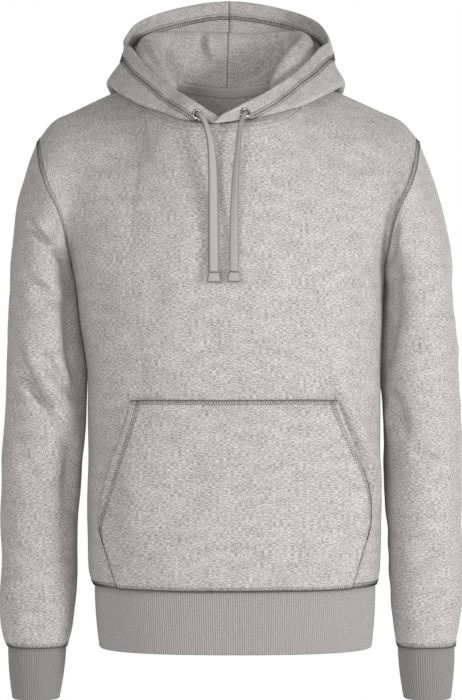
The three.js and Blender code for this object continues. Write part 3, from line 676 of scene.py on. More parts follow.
def panel_cloth(face, neck_share, bends):
    """A body panel: level rows up to the armpits, then columns that bend over to the shoulders and neck."""
    front = face == "front"
    order = SIDES if front else SIDES[::-1]
    tops, shares = [], []
    for side in order:
        neck = NECK_RUNS[side]["front"] if front else NECK_RUNS[side]["back"][::-1]
        tops.append(np.vstack([SHOULDER_RUNS[side][::-1], neck[1:]]))
        outer = np.linspace(1, neck_share, SHOULDER_STEPS + 1)
        inner = np.linspace(neck_share, 0, len(neck))[1:]
        shares.append(np.concatenate([outer, inner]))
    top = np.vstack([tops[0], tops[1][:-1][::-1]])
    across = np.concatenate([-shares[0], shares[1][:-1][::-1]])
    armpit = {name: cells[-1] for name, cells in BODY.items()}
    even = even_shares(armpit, BODY_SQUARENESS, *((0, 0.5) if front else (0.5, 1)), FINE_STEPS)
    section_share = np.interp((across + 1) / 2, np.linspace(0, 1, FINE_STEPS + 1), even)
    levels = read(BODY, "z", np.linspace(BODY["z"][0], BODY["z"][-1], BODY_ROWS + 1))
    rows = {name: cells[:, None] for name, cells in levels.items()}
    lower = section_point(rows, section_share[None, :], BODY_SQUARENESS)
    bottom = lower[-1]
    away = np.abs(across)
    near_neck = mix(bends["middle"], bends["neck"], smooth(away, 0, neck_share))
    near_arm = mix(bends["neck"], bends["shoulder"], (away - neck_share) / (1 - neck_share))
    bend = np.radians(np.where(away < neck_share, near_neck, near_arm))[None, :]
    t = np.linspace(0, 1, ARMHOLE_STEPS + 1)[1:, None]
    forward = (1 - np.cos(bend * t)) / (1 - np.cos(bend))
    upward = np.sin(bend * t) / np.sin(bend)
    upper = np.stack(
        [
            mix(bottom[:, 0], top[:, 0], t * t * (3 - 2 * t)),
            mix(bottom[:, 1], top[:, 1], forward),
            mix(bottom[:, 2], top[:, 2], upward),
        ],
        axis=-1,
    )
    edges = [ARMHOLE_RUNS[side][face][1:] - upper[:, end] for side, end in zip(order, (0, -1))]
    pull = np.where((across < 0)[None, :, None], edges[0][:, None, :], edges[1][:, None, :])
    upper = upper + pull * (away**ARMHOLE_PULL)[None, :, None]
    upper[-1] = top
    points = np.vstack([lower, upper])
    points[..., 1] = evened(points)
    return Cloth(points, laid_flat(points, len(across) // 2))


def sleeve_section(rows, side):
    return {
        "z": rows["z"], "x": rows[side], "half": rows[f"{side}_half"], "y": rows["y"],
        "front": rows["depth"], "back": rows["depth"],
    }


def sleeve_cloth(side):
    """A sleeve from its armhole down to the cuff seam."""
    runs = ARMHOLE_RUNS[side]
    armhole = np.vstack([runs["front"], runs["back"][1:-1][::-1]])
    count = len(armhole)
    steps = np.arange(count) / count
    shares = (steps if side == "left" else 0.5 - steps) % 1
    levels = read(SLEEVE, "z", np.linspace(SLEEVE["z"][-1], SLEEVE["z"][0], SLEEVE_ROWS + 1))
    section = {name: cells[:, None] for name, cells in sleeve_section(levels, side).items()}
    lower = section_point(section, shares[None, :], SLEEVE_SQUARENESS)
    ends = lower[0]
    reach = np.linalg.norm(ends - armhole, axis=1)[:, None]
    low, high = ARMHOLE["z"][0], ARMHOLE["z"][-1]
    lean = CAP["lean"] + CAP["gain"] * (armhole[:, 2] - low) / (high - low)
    leaving = unit(np.stack([SIGN[side] * lean, np.zeros(count), -np.ones(count)], axis=-1))
    handles = (
        armhole,
        armhole + leaving * reach * CAP["leaving"],
        ends + np.array([0, 0, 1]) * reach * CAP["arriving"],
        ends,
    )
    t = (np.arange(CAP_ROWS) / CAP_ROWS)[:, None, None]
    weights = ((1 - t) ** 3, 3 * t * (1 - t) ** 2, 3 * t * t * (1 - t), t**3)
    cap = sum(weight * handle[None] for weight, handle in zip(weights, handles))
    points = np.vstack([cap, lower])
    over, down = np.moveaxis(laid_flat(np.concatenate([points, points[:, :1]], axis=1), count // 2), -1, 0)
    return Cloth(points, np.stack([over, down[-1] - down], axis=-1), flip=side == "left", closed=True)


def hood_corners(side, share, start):
    lap = float(smooth(np.array(share), LAP_START, 1))

    def place(row, lapped):
        out = row["out"] + LAP[side]["out"] * lap * lapped
        return np.array(
            [neck_x(row["y"]) + SIGN[side] * out, row["y"] + LAP[side]["y"] * lap * lapped, row["z"]]
        )

    angle = math.radians(float(hood_read(HOOD_FACING, share)["degrees"]))
    way = np.array([SIGN[side] * math.cos(angle), math.sin(angle), 0])
    ridge, bag = hood_read(HOOD_RIDGE, share), hood_read(HOOD_BAG, share)
    ridge_at, bag_at = place(ridge, LAP_RIDGE), place(bag, 1)
    drop = np.array([0, 0, -1]) * bag["drop"]
    return [
        start,
        ridge_at - way * ridge["roll"],
        ridge_at + way * ridge["roll"],
        bag_at - way * bag["roll"] - drop,
        bag_at + way * bag["roll"] + drop,
        place(hood_read(HOOD_RIM, share), LAP[side]["rim"]),
    ]


def softened(line):
    """A line with its corners cut at a quarter of each leg, which keeps its two ends."""
    cut = [line[0]]
    for i in range(len(line) - 1):
        if i > 0:
            cut.append(mix(line[i], line[i + 1], 0.25))
        if i < len(line) - 2:
            cut.append(mix(line[i], line[i + 1], 0.75))
    cut.append(line[-1])
    return cut


def hood_line(side, share, start):
    line = hood_corners(side, share, start)
    for _ in range(CORNER_CUTS):
        line = softened(line)
    return np.array(line)


def hood_cloth(side):
    """Half of the hood, from the middle of the back to its front end, and from the neck seam to the rim."""
    runs = NECK_RUNS[side]
    starts = np.vstack([runs["back"], runs["front"][1:]])
    shares = np.concatenate(
        [np.linspace(0, 0.5, BACK_NECK_STEPS + 1), np.linspace(0.5, 1, FRONT_NECK_STEPS + 1)[1:]]
    )
    lines = [resampled(hood_line(side, share, start), HOOD_ROWS) for share, start in zip(shares, starts)]
    points = np.stack(lines, axis=1)
    over, along = np.moveaxis(laid_flat(points, 0), -1, 0)
    flat = np.stack([(along - along[-1]) * HOOD_GRAIN, over], axis=-1)
    return Cloth(points, flat, flip=side == "left")


def front_surface(x, z):
    """The front's outer face, and the way out of it, at places across and heights."""

    def point(x, z):
        row = read(BODY, "z", z)
        share = np.minimum(np.abs((x - row["x"]) / row["half"]), 1)
        y = -row["front"] * (1 - share**BODY_SQUARENESS) ** (1 / BODY_SQUARENESS)
        return np.stack([x, y, z], axis=-1)

    across = point(x + 1, z) - point(x - 1, z)
    up = point(x, z + 1) - point(x, z - 1)
    return point(x, z), unit(np.cross(across, up))


def pocket_cloth():
    levels = np.linspace(POCKET["z"][0], POCKET["z"][-1], POCKET_ROWS + 1)
    half = read(POCKET, "z", levels)["half"][:, None]
    across = np.linspace(-1, 1, POCKET_COLUMNS + 1)[None, :]
    middle = read(BODY, "z", levels)["x"][:, None]
    x, z = np.broadcast_arrays(middle + across * half, levels[:, None])
    surface, outward = front_surface(x, z)
    low, high = levels[0], levels[-1]
    rise = POCKET_LIFT * np.sin(np.pi * np.clip((z - low) / (high - low), 0, 1)) ** POCKET_FULLNESS
    open_share = np.maximum(z - POCKET_MOUTH_END, 0) / (high - POCKET_MOUTH_END)
    mouth_rise = np.where(across < 0, MOUTH_LIFT["right"], MOUTH_LIFT["left"])
    mouth = mouth_rise * np.sin(np.pi * open_share)
    lift = POCKET_BASE + mix(rise, mouth, np.abs(across) ** POCKET_MOUTH_REACH)
    points = surface + outward * lift[..., None]
    flat = np.stack([x, z], axis=-1)
    return Cloth(points, flat)


# Creases


def face_share(cloth, face):
    """1 on the part of the cloth that a crease is named for, falling softly to 0 beyond it."""
    toward = -cloth.normals[..., 1]
    if face == "front":
        return smooth(toward, 0.02, 0.3)
    if face == "back":
        return smooth(-toward, 0.02, 0.3)
    height = cloth.points.shape[0]
    ridge = np.argmax(cloth.points[: int(height * 0.62), :, 2], axis=0)[None, :]
    row = np.arange(height)[:, None]
    near = smooth(ridge + 6 - row, 0, 10)
    if face == "near":
        return -near
    return (-1 if face == "rim" else 1) * smooth(row - ridge - 14, 0, 14)


def crease_field(cloth, creases):
    """How far each point of the cloth is moved out by its creases."""
    place = cloth.points[..., [0, 2]]
    total = np.zeros(place.shape[:2])
    for face, route, width, depth, roll in creases:
        line = curve(np.array(route, float), np.linspace(0, 1, CREASE_STEPS + 1))
        nearest = np.full(total.shape, np.inf)
        beside = np.zeros(total.shape)
        share = np.zeros(total.shape)
        for k in range(CREASE_STEPS):
            leg = line[k + 1] - line[k]
            span = leg @ leg
            along = np.clip(((place - line[k]) @ leg) / span, 0, 1)
            away = place - line[k] - along[..., None] * leg
            distance = np.linalg.norm(away, axis=-1)
            closer = distance < nearest
            nearest = np.where(closer, distance, nearest)
            side = np.sign(leg[0] * away[..., 1] - leg[1] * away[..., 0])
            beside = np.where(closer, side * distance, beside)
            share = np.where(closer, (k + along) / CREASE_STEPS, share)
        taper = np.sin(np.pi * np.clip(share, 0, 1)) ** 0.8
        across = beside / width
        profile = np.exp(-(across**2)) - roll * across * np.exp(-0.5 * (across - np.sign(roll)) ** 2)
        total += depth * profile * taper * face_share(cloth, face)
    return total * sizes().crease_depth


def undulation(cloth, seed, kind=UNDULATION):
    """The slight unevenness of cloth that hangs, from a few waves."""
    pick = np.random.default_rng(kind["seed"] + seed)
    total = np.zeros(cloth.points.shape[:2])
    for _ in range(kind["waves"]):
        direction = unit(pick.normal(size=3))
        length = pick.uniform(kind["shortest"], kind["longest"])
        start = pick.uniform(0, 2 * np.pi)
        total += np.sin(cloth.points @ direction * 2 * np.pi / length + start)
    return total * kind["height"]


def press(cloth, name, seed):
    """Presses a piece's creases and unevenness into it, held at its edges."""
    down, up, left, right = cloth.from_edges()
    nearest = np.minimum(down, up)
    if not cloth.closed:
        nearest = np.minimum(nearest, np.minimum(left, right))
    hold = smooth(nearest, 0, SEAM_HOLD)
    shift = crease_field(cloth, CREASES.get(name, ())) + undulation(cloth, seed)
    if name.startswith("sleeve"):
        shift = shift + undulation(cloth, seed, WRINKLES)
    shift = shift * hold
    cloth.points = cloth.points + cloth.normals * shift[..., None]
    cloth.find_normals()


def seam_roll(*distances):
    """How much lower the cloth's face lies where it rolls over into a seam."""
    nearest = np.minimum.reduce(np.broadcast_arrays(*distances))
    return SEAM_ROLL["depth"] * np.exp(-((nearest / SEAM_ROLL["reach"]) ** 2))


def rounded(distance, thickness):
    """How far a face has come in at a distance from a folded or cut edge that is rounded."""
    radius = thickness / 2
    gone = np.clip(radius - distance, 0, radius)
    return radius - np.sqrt(np.maximum(radius**2 - gone**2, 0))


# Meshes


def new_piece(name, vertices, faces, uvs=None):
    """An object from points in millimetres and faces, with a UV map in metres for each face's corners."""
    mesh = bpy.data.meshes.new(name)
    mesh.from_pydata((np.asarray(vertices) * MM).tolist(), [], [list(map(int, f)) for f in faces])
    if uvs is not None:
        layer = mesh.uv_layers.new(name="cloth")
        layer.data.foreach_set("uv", (np.asarray(uvs, np.float32) * MM).ravel())
    mesh.polygons.foreach_set("use_smooth", [True] * len(mesh.polygons))
    mesh.update()
    piece = bpy.data.objects.new(name, mesh)
    bpy.context.collection.objects.link(piece)
    return piece


def grid_quads(height, width, closed):
    """Quads of a grid as rows and columns of their corners; a closed grid's last column meets its first."""
    r, c = np.meshgrid(np.arange(height - 1), np.arange(width if closed else width - 1), indexing="ij")
    corners = [(r, c), (r, c + 1), (r + 1, c + 1), (r + 1, c)]
    rows = np.stack([a.ravel() for a, _ in corners], axis=-1)
    columns = np.stack([b.ravel() for _, b in corners], axis=-1)
    return rows, columns


def wall_piece(name, cloth):
    """A closed wall of cloth between its two faces."""
    height, width = cloth.points.shape[:2]
    vertices = np.vstack([cloth.face("outside").reshape(-1, 3), cloth.face("inside").reshape(-1, 3)])
    rows, columns = grid_quads(height, width, cloth.closed)
    layer = height * width
    outer = rows * width + columns % width
    faces = [outer, outer[:, ::-1] + layer]
    uvs = [cloth.flat[rows, columns], cloth.flat[rows[:, ::-1], columns[:, ::-1]]]

    def close(r0, c0, r1, c1):
        """A strip of faces between the two layers, along one edge."""
        a, b = r0 * width + c0 % width, r1 * width + c1 % width
        faces.append(np.stack([b, a, a + layer, b + layer], axis=-1))
        flat_a, flat_b = cloth.flat[r0, c0], cloth.flat[r1, c1]
        uvs.append(np.stack([flat_b, flat_a, flat_a, flat_b], axis=1))

    c = np.arange(width if cloth.closed else width - 1)
    first, last = np.zeros_like(c), np.full_like(c, height - 1)
    close(first, c, first, c + 1)
    close(last, c + 1, last, c)
    if not cloth.closed:
        r = np.arange(height - 1)
        left, right = np.zeros_like(r), np.full_like(r, width - 1)
        close(r + 1, left, r, left)
        close(r, right, r + 1, right)
    faces, uvs = np.vstack(faces), np.vstack(uvs)
    if cloth.flip:
        faces, uvs = faces[:, ::-1], uvs[:, ::-1]
    return new_piece(name, vertices, faces, uvs)


def full_turn(count):
    """Angles spaced evenly round a full turn."""
    return np.linspace(0, 2 * np.pi, count + 1)[:-1]


def soft_section(count, power):
    """How far a section's points lie across and ahead, from -1 to 1. A lower power is squarer."""
    angles = full_turn(count)
    return [np.sign(v) * np.abs(v) ** power for v in (np.cos(angles), np.sin(angles))]


def joined(parts):
    """Vertices, faces and UVs of several meshes as one."""
    vertices, faces, uvs = [], [], []
    count = 0
    for points, quads, flat in parts:
        vertices.append(points)
        faces.append(np.asarray(quads) + count)
        uvs.append(flat)
        count += len(points)
    return np.vstack(vertices), np.vstack(faces), np.vstack(uvs)


def threads(paths, ups, radius):
    """Short threads through three points each, with four sides: vertices, faces and UVs."""
    count = len(paths)
    direction = unit(paths[:, 2] - paths[:, 0])
    side = unit(np.cross(direction, ups))
    up = np.cross(side, direction)
    ring = np.stack([side, up, -side, -up], axis=1) * radius
    taper = np.array([0.6, 1.0, 0.6])[None, :, None, None]
    vertices = (paths[:, :, None, :] + ring[:, None, :, :] * taper).reshape(-1, 3)
    quads = []
    for j in range(2):
        for k in range(4):
            low, high = j * 4 + k, j * 4 + (k + 1) % 4
            quads.append((low, high, high + 4, low + 4))
    quads += [(3, 2, 1, 0), (8, 9, 10, 11)]
    faces = (np.arange(count)[:, None, None] * 12 + np.array(quads)[None]).reshape(-1, 4)
    return vertices, faces, np.zeros((len(faces), 4, 2))


def along_line(points, outward, pitch):
    """A line read every pitch: its points, the way out of the cloth, and the way across the line."""
    along = lengths(points)
    count = max(int(round(along[-1] / pitch)), 2)
    at = np.linspace(0, along[-1], count * 4 + 1)

    def sample(values):
        return np.stack([np.interp(at, along, values[:, k]) for k in range(3)], axis=-1)

    place, out = sample(points), unit(sample(outward))
    forward = unit(np.gradient(place, axis=0))
    return place, out, unit(np.cross(forward, out)), count


def cover_stitch(points, outward, width, pitch, thread, rows):
    """A cover seam along a line: rows of stitches, and threads that cross between them."""
    place, out, side, count = along_line(points, outward, pitch)
    start = np.arange(count) * 4
    parts = []
    sunk, raised = -0.5 * thread, 0.35 * thread
    for row in rows:
        spots = [start, start + 2, start + 3]
        heights = (sunk, raised, sunk)
        path = np.stack(
            [place[i] + side[i] * width * row + out[i] * h for i, h in zip(spots, heights)], axis=1
        )
        parts.append(threads(path, out[start + 2], thread / 2))
    path = np.stack(
        [place[start] + side[start] * width * share + out[start] * height
         for share, height in ((-0.5, sunk), (0, raised * 0.8), (0.5, sunk))],
        axis=1,
    )
    parts.append(threads(path, out[start], thread * 0.4))
    return joined(parts)


def plain_stitch(points, outward, pitch, thread):
    """A single row of stitches along a line."""
    place, out, _, count = along_line(points, outward, pitch)
    start = np.arange(count) * 4
    heights = (-0.4 * thread, 0.35 * thread, -0.4 * thread)
    path = np.stack([place[start + i] + out[start + i] * h for i, h in zip((0, 2, 3), heights)], axis=1)
    return threads(path, out[start + 2], thread / 2)


# Materials


class Wire:
    """A socket in a material. An expression of wires and numbers adds its Math nodes."""

    def __init__(self, tree, socket):
        self.tree = tree
        self.socket = socket

    def node(self, kind, settings, inputs, output=0):
        """Any node: its settings are set first, then the values or links of its sockets."""
        return add_node(self.tree, kind, settings, inputs, output)

    def maths(self, operation, *values):
        return self.node("ShaderNodeMath", {"operation": operation}, dict(enumerate(values)))

    def __add__(self, other):
        return self.maths("ADD", self, other)

    def __sub__(self, other):
        return self.maths("SUBTRACT", self, other)

    def __rsub__(self, other):
        return self.maths("SUBTRACT", other, self)

    def __mul__(self, other):
        return self.maths("MULTIPLY", self, other)

    def __truediv__(self, other):
        return self.maths("DIVIDE", self, other)

    __radd__ = __add__
    __rmul__ = __mul__

    def wave(self):
        """A cosine of this value in turns, from 0 to 1."""
        return self.maths("COSINE", self * (2 * math.pi)) * 0.5 + 0.5

    def size(self):
        """This value without its sign."""
        return self.maths("ABSOLUTE", self)

    def across_and_up(self):
        """The two parts of a place on the cloth."""
        return [self.node("ShaderNodeSeparateXYZ", {}, {0: self}, output=part) for part in range(2)]

    def on_object(self):
        """The place in the object's own space, for a piece that has no flat cloth."""
        return self.node("ShaderNodeTexCoord", {}, {}, output=3)

    def between(self, low, high):
        """0 below low, 1 above high and a soft rise between."""
        return self.node(
            "ShaderNodeMapRange",
            {"interpolation_type": "SMOOTHSTEP"},
            {"Value": self, "From Min": low, "From Max": high, "To Min": 0.0, "To Max": 1.0},
        )


def add_node(tree, kind, settings, inputs, output=0):
    node = tree.nodes.new(kind)
    for name, value in settings.items():
        setattr(node, name, value)
    for name, value in inputs.items():
        socket = node.inputs[name]
        if isinstance(value, Wire):
            tree.links.new(value.socket, socket)
        elif socket.type == "RGBA" and len(value) == 3:
            socket.default_value = (*value, 1.0)
        else:
            socket.default_value = value
    return Wire(tree, node.outputs[output])


def shade(colour, share):
    """A colour made darker or lighter by a share."""
    return tuple(share * c for c in colour)


def mixed(factor, a, b):
    """A colour between two colours."""
    return factor.node("ShaderNodeMix", {"data_type": "RGBA"}, {0: factor, 6: a, 7: b}, output=2)


def stretched(wire, x, y, z=0.0):
    """A place on the cloth, scaled differently across and up."""
    return wire.node("ShaderNodeVectorMath", {"operation": "MULTIPLY"}, {0: wire, 1: (x, y, z)})


def noise(place, scale, detail=2.0, roughness=0.5):
    return place.node(
        "ShaderNodeTexNoise",
        {"noise_dimensions": "2D"},
        {"Vector": place, "Scale": scale, "Detail": detail, "Roughness": roughness},
    )


def find_node(tree, kind):
    return next(node for node in tree.nodes if node.type == kind)


def plain_material(name, values):
    """A new material and its shader, with some of the shader's values set."""
    material = bpy.data.materials.new(name)
    material.use_nodes = True
    shader = find_node(material.node_tree, "BSDF_PRINCIPLED")
    for socket, value in values.items():
        shader.inputs[socket].default_value = value
    return material, shader


def new_material(name, surface, constants):
    """A material whose surface function gives a colour, a height and a roughness from the cloth's UV."""
    material, shader = plain_material(name, constants)
    tree = material.node_tree
    place = add_node(tree, "ShaderNodeUVMap", {"uv_map": "cloth"}, {})
    colour, height, roughness = surface(place)
    tree.links.new(colour.socket, shader.inputs["Base Color"])
    if isinstance(roughness, Wire):
        tree.links.new(roughness.socket, shader.inputs["Roughness"])
    else:
        shader.inputs["Roughness"].default_value = roughness
    if height is not None:
        bump = place.node("ShaderNodeBump", {}, {"Height": height, "Strength": 0.6, "Distance": 0.0006})
        tree.links.new(bump.socket, shader.inputs["Normal"])
    return material


# The marl's streaks and its finer yarn, in metres, and how many broad clouds of tone a metre has
STREAK = {"long": 0.0044, "high": 0.0011}
FINE_YARN = {"long": 0.0017, "high": 0.0009}
CLOUDS = {"across": 34.0, "up": 85.0, "weight": 0.34}
# Distances between the knit's wales, its courses, the cord's threads and the tape's twill
WALE = 0.0012
COURSE = 0.0011
CORD_THREAD = {"up": 0.0013, "across": 0.0011}
TAPE_TWILL = {"zigzag": 0.003, "pitch": 0.0012}
# Where painted shade darkens the cord's edges, as distances from its middle
CORD_EDGE_SHADE = (0.0036, 0.0052)
# Where painted shade darkens a tip's edges, from its middle
TIP_SIDE_SHADE = (0.0048, 0.0072)
TIP_END_SHADE = (0.0042, 0.0058)
SOFT_CLOTH = {"Sheen Weight": 0.12, "Sheen Roughness": 0.6, "Specular IOR Level": 0.2}
PLAIN = {"Specular IOR Level": 0.3}


def marl(place, light, dark, contrast=0.88):
    """Short streaks of light and dark yarn along the knit's courses."""
    wobble = noise(place, 30.0, 1.0)
    bent = place.node(
        "ShaderNodeVectorMath", {"operation": "MULTIPLY_ADD"}, {0: wobble, 1: (0.0, 0.002, 0.0), 2: place}
    )
    streaks = noise(stretched(bent, 1 / STREAK["long"], 1 / STREAK["high"]), 1.0, 2.0, 0.6)
    fine = noise(stretched(bent, 1 / FINE_YARN["long"], 1 / FINE_YARN["high"]), 1.0, 2.0, 0.65)
    broad = noise(stretched(place, CLOUDS["across"], CLOUDS["up"]), 1.0, 3.0)
    yarn = streaks.between(0.32, 0.68) * 0.6 + fine.between(0.32, 0.68) * 0.4
    tone = (yarn - 0.5) * contrast + 0.5 + (broad - 0.5) * CLOUDS["weight"]
    return mixed(tone, dark, light), streaks, fine


def fleece_surface(place):
    """Marled fleece with faint wales."""
    colour, streaks, fine = marl(place, colours().fleece_light, colours().fleece_dark)
    across, _ = place.across_and_up()
    wales = (across / WALE).wave()
    return colour, streaks * 0.4 + fine * 0.6 + wales * 0.05, 0.95


def rib_surface(depth):
    """Rib knit: ribs up and down with fine speckled yarn, and painted shade darkening the colour between the
    ribs.
    """

    def surface(place):
        # A depth below 1 darkens both yarns. This is painted shade, which the cuffs use for their tighter,
        # deeper ribs.
        light, dark = shade(colours().rib_light, depth), shade(colours().rib_dark, depth)
        _, streaks, fine = marl(place, light, dark)
        across, up = place.across_and_up()
        ribs = (across / (RIB_PITCH * MM)).wave()
        courses = (up / COURSE).wave()
        # The ribs' share of the tone is painted shade: it darkens the colour in the grooves between the ribs.
        tone = ribs * 0.42 + fine.between(0.3, 0.7) * 0.4 + streaks.between(0.3, 0.7) * 0.18
        return mixed(tone, dark, light), fine * 0.5 + courses * 0.3 + ribs * 0.4, 0.95

    return surface


def cord_surface(place):
    """A flat woven cord: fine chevrons on either side of its middle, and painted shade darkening its edges.
    """
    across, up = place.across_and_up()
    chevron = (up / CORD_THREAD["up"] + across.size() / CORD_THREAD["across"]).wave()
    ends = (across / CORD_THREAD["across"]).wave()
    fuzz = noise(place, 900.0, 2.0)
    weave = chevron * 0.5 + ends * 0.3 + fuzz * 0.2
    # The darker edges are painted shade, for the cord's edges rounding away and lying near the chest.
    edge_shade = 1 - across.size().between(*CORD_EDGE_SHADE) * 0.9
    base = colours().cord
    return mixed((weave * 0.5 + 0.5) * edge_shade, shade(base, 0.45), base), weave, 0.85


def tape_surface(place):
    """A herringbone tape."""
    across, up = place.across_and_up()
    zigzag = across.maths("PINGPONG", across, TAPE_TWILL["zigzag"])
    twill = ((up + zigzag) / TAPE_TWILL["pitch"]).wave()
    base = colours().tape
    return mixed(twill, base, shade(base, 1.5)), twill, 0.85


def thread_surface(colour):
    """Sewing thread of a named colour, a little worn."""

    def surface(place):
        base = getattr(colours(), colour)
        worn = noise(place.on_object(), 700.0, 1.0)
        return mixed(worn, shade(base, 0.7), base), None, 0.6

    return surface


def metal_surface(place):
    """Brushed metal."""
    brushed = noise(place.on_object(), 420.0, 2.0)
    base = colours().metal
    return mixed(brushed, shade(base, 0.6), base), None, brushed * 0.16 + 0.2


def tip_surface(place):
    """A clouded tip with painted shade darkening its edges."""
    cloudy = noise(place.on_object(), 160.0, 2.0)
    across, up = place.across_and_up()
    # beside and along mark the tip's edges, where painted shade darkens its colour.
    beside = across.size().between(*TIP_SIDE_SHADE)
    along = (up - TIP["length"] * MM / 2).size().between(*TIP_END_SHADE)
    edge = beside.maths("MAXIMUM", beside, along)
    base = colours().tip
    tone = (cloudy * 0.3 + 0.7) * (1 - edge * 0.85)
    return mixed(tone, shade(base, 0.3), base), None, cloudy * 0.1 + 0.42


MATERIALS = {
    "fleece": (fleece_surface, SOFT_CLOTH),
    "rib_knit": (rib_surface(1.0), SOFT_CLOTH),
    # The cuffs' knit is the rib knit darkened to 0.72: painted shade for their tighter, deeper ribs.
    "cuff_knit": (rib_surface(0.72), SOFT_CLOTH),
    "drawcord": (cord_surface, PLAIN),
    "neck_tape": (tape_surface, PLAIN),
    "thread": (thread_surface("thread"), PLAIN),
    "pale_thread": (thread_surface("pale_thread"), PLAIN),
    "eyelet_metal": (metal_surface, {"Metallic": 1.0}),
    "cord_tip": (tip_surface, {"Specular IOR Level": 0.6}),
}


def finish(piece, slot, material=None, nodes=()):
    """Gives a piece its material and body, and hides the pattern pieces that it stands for."""
    look = material or slot
    name = f"hoodie_{look}"
    found = bpy.data.materials.get(name) or new_material(name, *MATERIALS[look])
    piece.data.materials.append(found)
    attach(piece, "root")
    if nodes:
        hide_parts(*nodes)
    return piece


# The garment's pieces, made once and shared by the operators


def hem_reach(down):
    """How far the hood's turned-in hem reaches back from its rim, at each place along the rim."""
    return np.minimum(sizes().hem_width / MM, down[-1] * HEM_LIMIT)


class Pattern:
    """The cloth of every piece, pressed and thickened, ready to be sewn."""

    _made = None

    @classmethod
    def get(cls):
        if cls._made is None:
            cls._made = cls()
        return cls._made

    def __init__(self):
        fleece = sizes().fleece / MM
        front = panel_cloth("front", 0.45, {"middle": 35, "neck": 60, "shoulder": 84})
        back = panel_cloth("back", 0.4, {"middle": 60, "neck": 70, "shoulder": 84})
        self.cloth = {"front_panel": front, "back_panel": back, "pocket": pocket_cloth()}
        for side in SIDES:
            self.cloth[f"sleeve_{side}"] = sleeve_cloth(side)
            self.cloth[f"hood_{side}"] = hood_cloth(side)
        for seed, (name, cloth) in enumerate(self.cloth.items()):
            press(cloth, name, seed)
            cloth.flat = cloth.flat + np.array([317.0, 613.0]) * seed
        sewn = [cloth for name, cloth in self.cloth.items() if name != "pocket"]
        share_normals(sewn)
        for name, cloth in self.cloth.items():
            down, up, left, right = cloth.from_edges()
            if name.endswith("_panel"):
                count = cloth.points.shape[1]
                column = np.abs(np.linspace(-1, 1, count)) * (count - 1) / 2
                beyond_neck = column - ((count - 1) / 2 - SHOULDER_STEPS)
                at_neck = mix(SEAM_ROLL["neck"], 1, smooth(beyond_neck, -3, 6))
                roll = np.maximum(seam_roll(down, left, right), seam_roll(up) * at_neck)
                cloth.thicken(-roll, fleece - roll * 0.5)
            elif name.startswith("sleeve"):
                roll = seam_roll(down, up)
                cloth.thicken(-roll, fleece - roll * 0.5)
            elif name == "pocket":
                roll = seam_roll(down, up) + rounded(np.minimum(left, right), fleece)
                cloth.thicken(fleece - roll, np.minimum(0.0, -rounded(np.minimum(left, right), fleece)))
            else:
                self.thicken_hood(cloth, down, up, left, right)

    def thicken_hood(self, cloth, down, up, middle, end):
        """A hood half is doubled at its rim, where its hem is turned in."""
        fleece, layer = sizes().fleece / MM, sizes().hem_layer / MM
        hem = layer * smooth(-(up - hem_reach(down)), 0, 1.2)
        thick = fleece + hem
        fold = rounded(np.minimum(up, end), thick)
        roll = np.maximum(seam_roll(down) * SEAM_ROLL["neck"], seam_roll(middle))
        cloth.thicken(fleece / 2 - fold - roll, thick - fleece / 2 - fold - roll * 0.9)


def fleece_piece(name, node):
    """A wall of fleece in the place of a pattern piece."""
    return finish(wall_piece(name, Pattern.get().cloth[node]), "fleece", nodes=[node])


class HOODIE_OT_body(bpy.types.Operator):
    """Make the front and back panels"""

    bl_idname = "hoodie.body"
    bl_label = "Body Panels"

    def execute(self, context):
        for name, flat, area in (("front_panel", (0.62, 0.68), 0.37), ("back_panel", (0.62, 0.72), 0.39)):
            piece = fleece_piece(name.replace("panel", "cloth"), name)
        return {"FINISHED"}


class HOODIE_OT_pocket(bpy.types.Operator):
    """Make the pouch pocket that lies on the front"""

    bl_idname = "hoodie.pocket"
    bl_label = "Pouch Pocket"

    def execute(self, context):
        piece = fleece_piece("pocket_cloth", "pocket")
        return {"FINISHED"}


class HOODIE_OT_sleeves(bpy.types.Operator):
    """Make both sleeves"""

    bl_idname = "hoodie.sleeves"
    bl_label = "Sleeves"

    def execute(self, context):
        for side in SIDES:
            piece = fleece_piece(f"sleeve_cloth_{side}", f"sleeve_{side}")
        return {"FINISHED"}


class HOODIE_OT_hood(bpy.types.Operator):
    """Make the two halves of the hood"""

    bl_idname = "hoodie.hood"
    bl_label = "Hood"

    def execute(self, context):
        for side in SIDES:
            piece = fleece_piece(f"hood_cloth_{side}", f"hood_{side}")
        return {"FINISHED"}


RIB_PITCH = 2.7
RIB_POINTS = 4
RIB_ROWS = 9


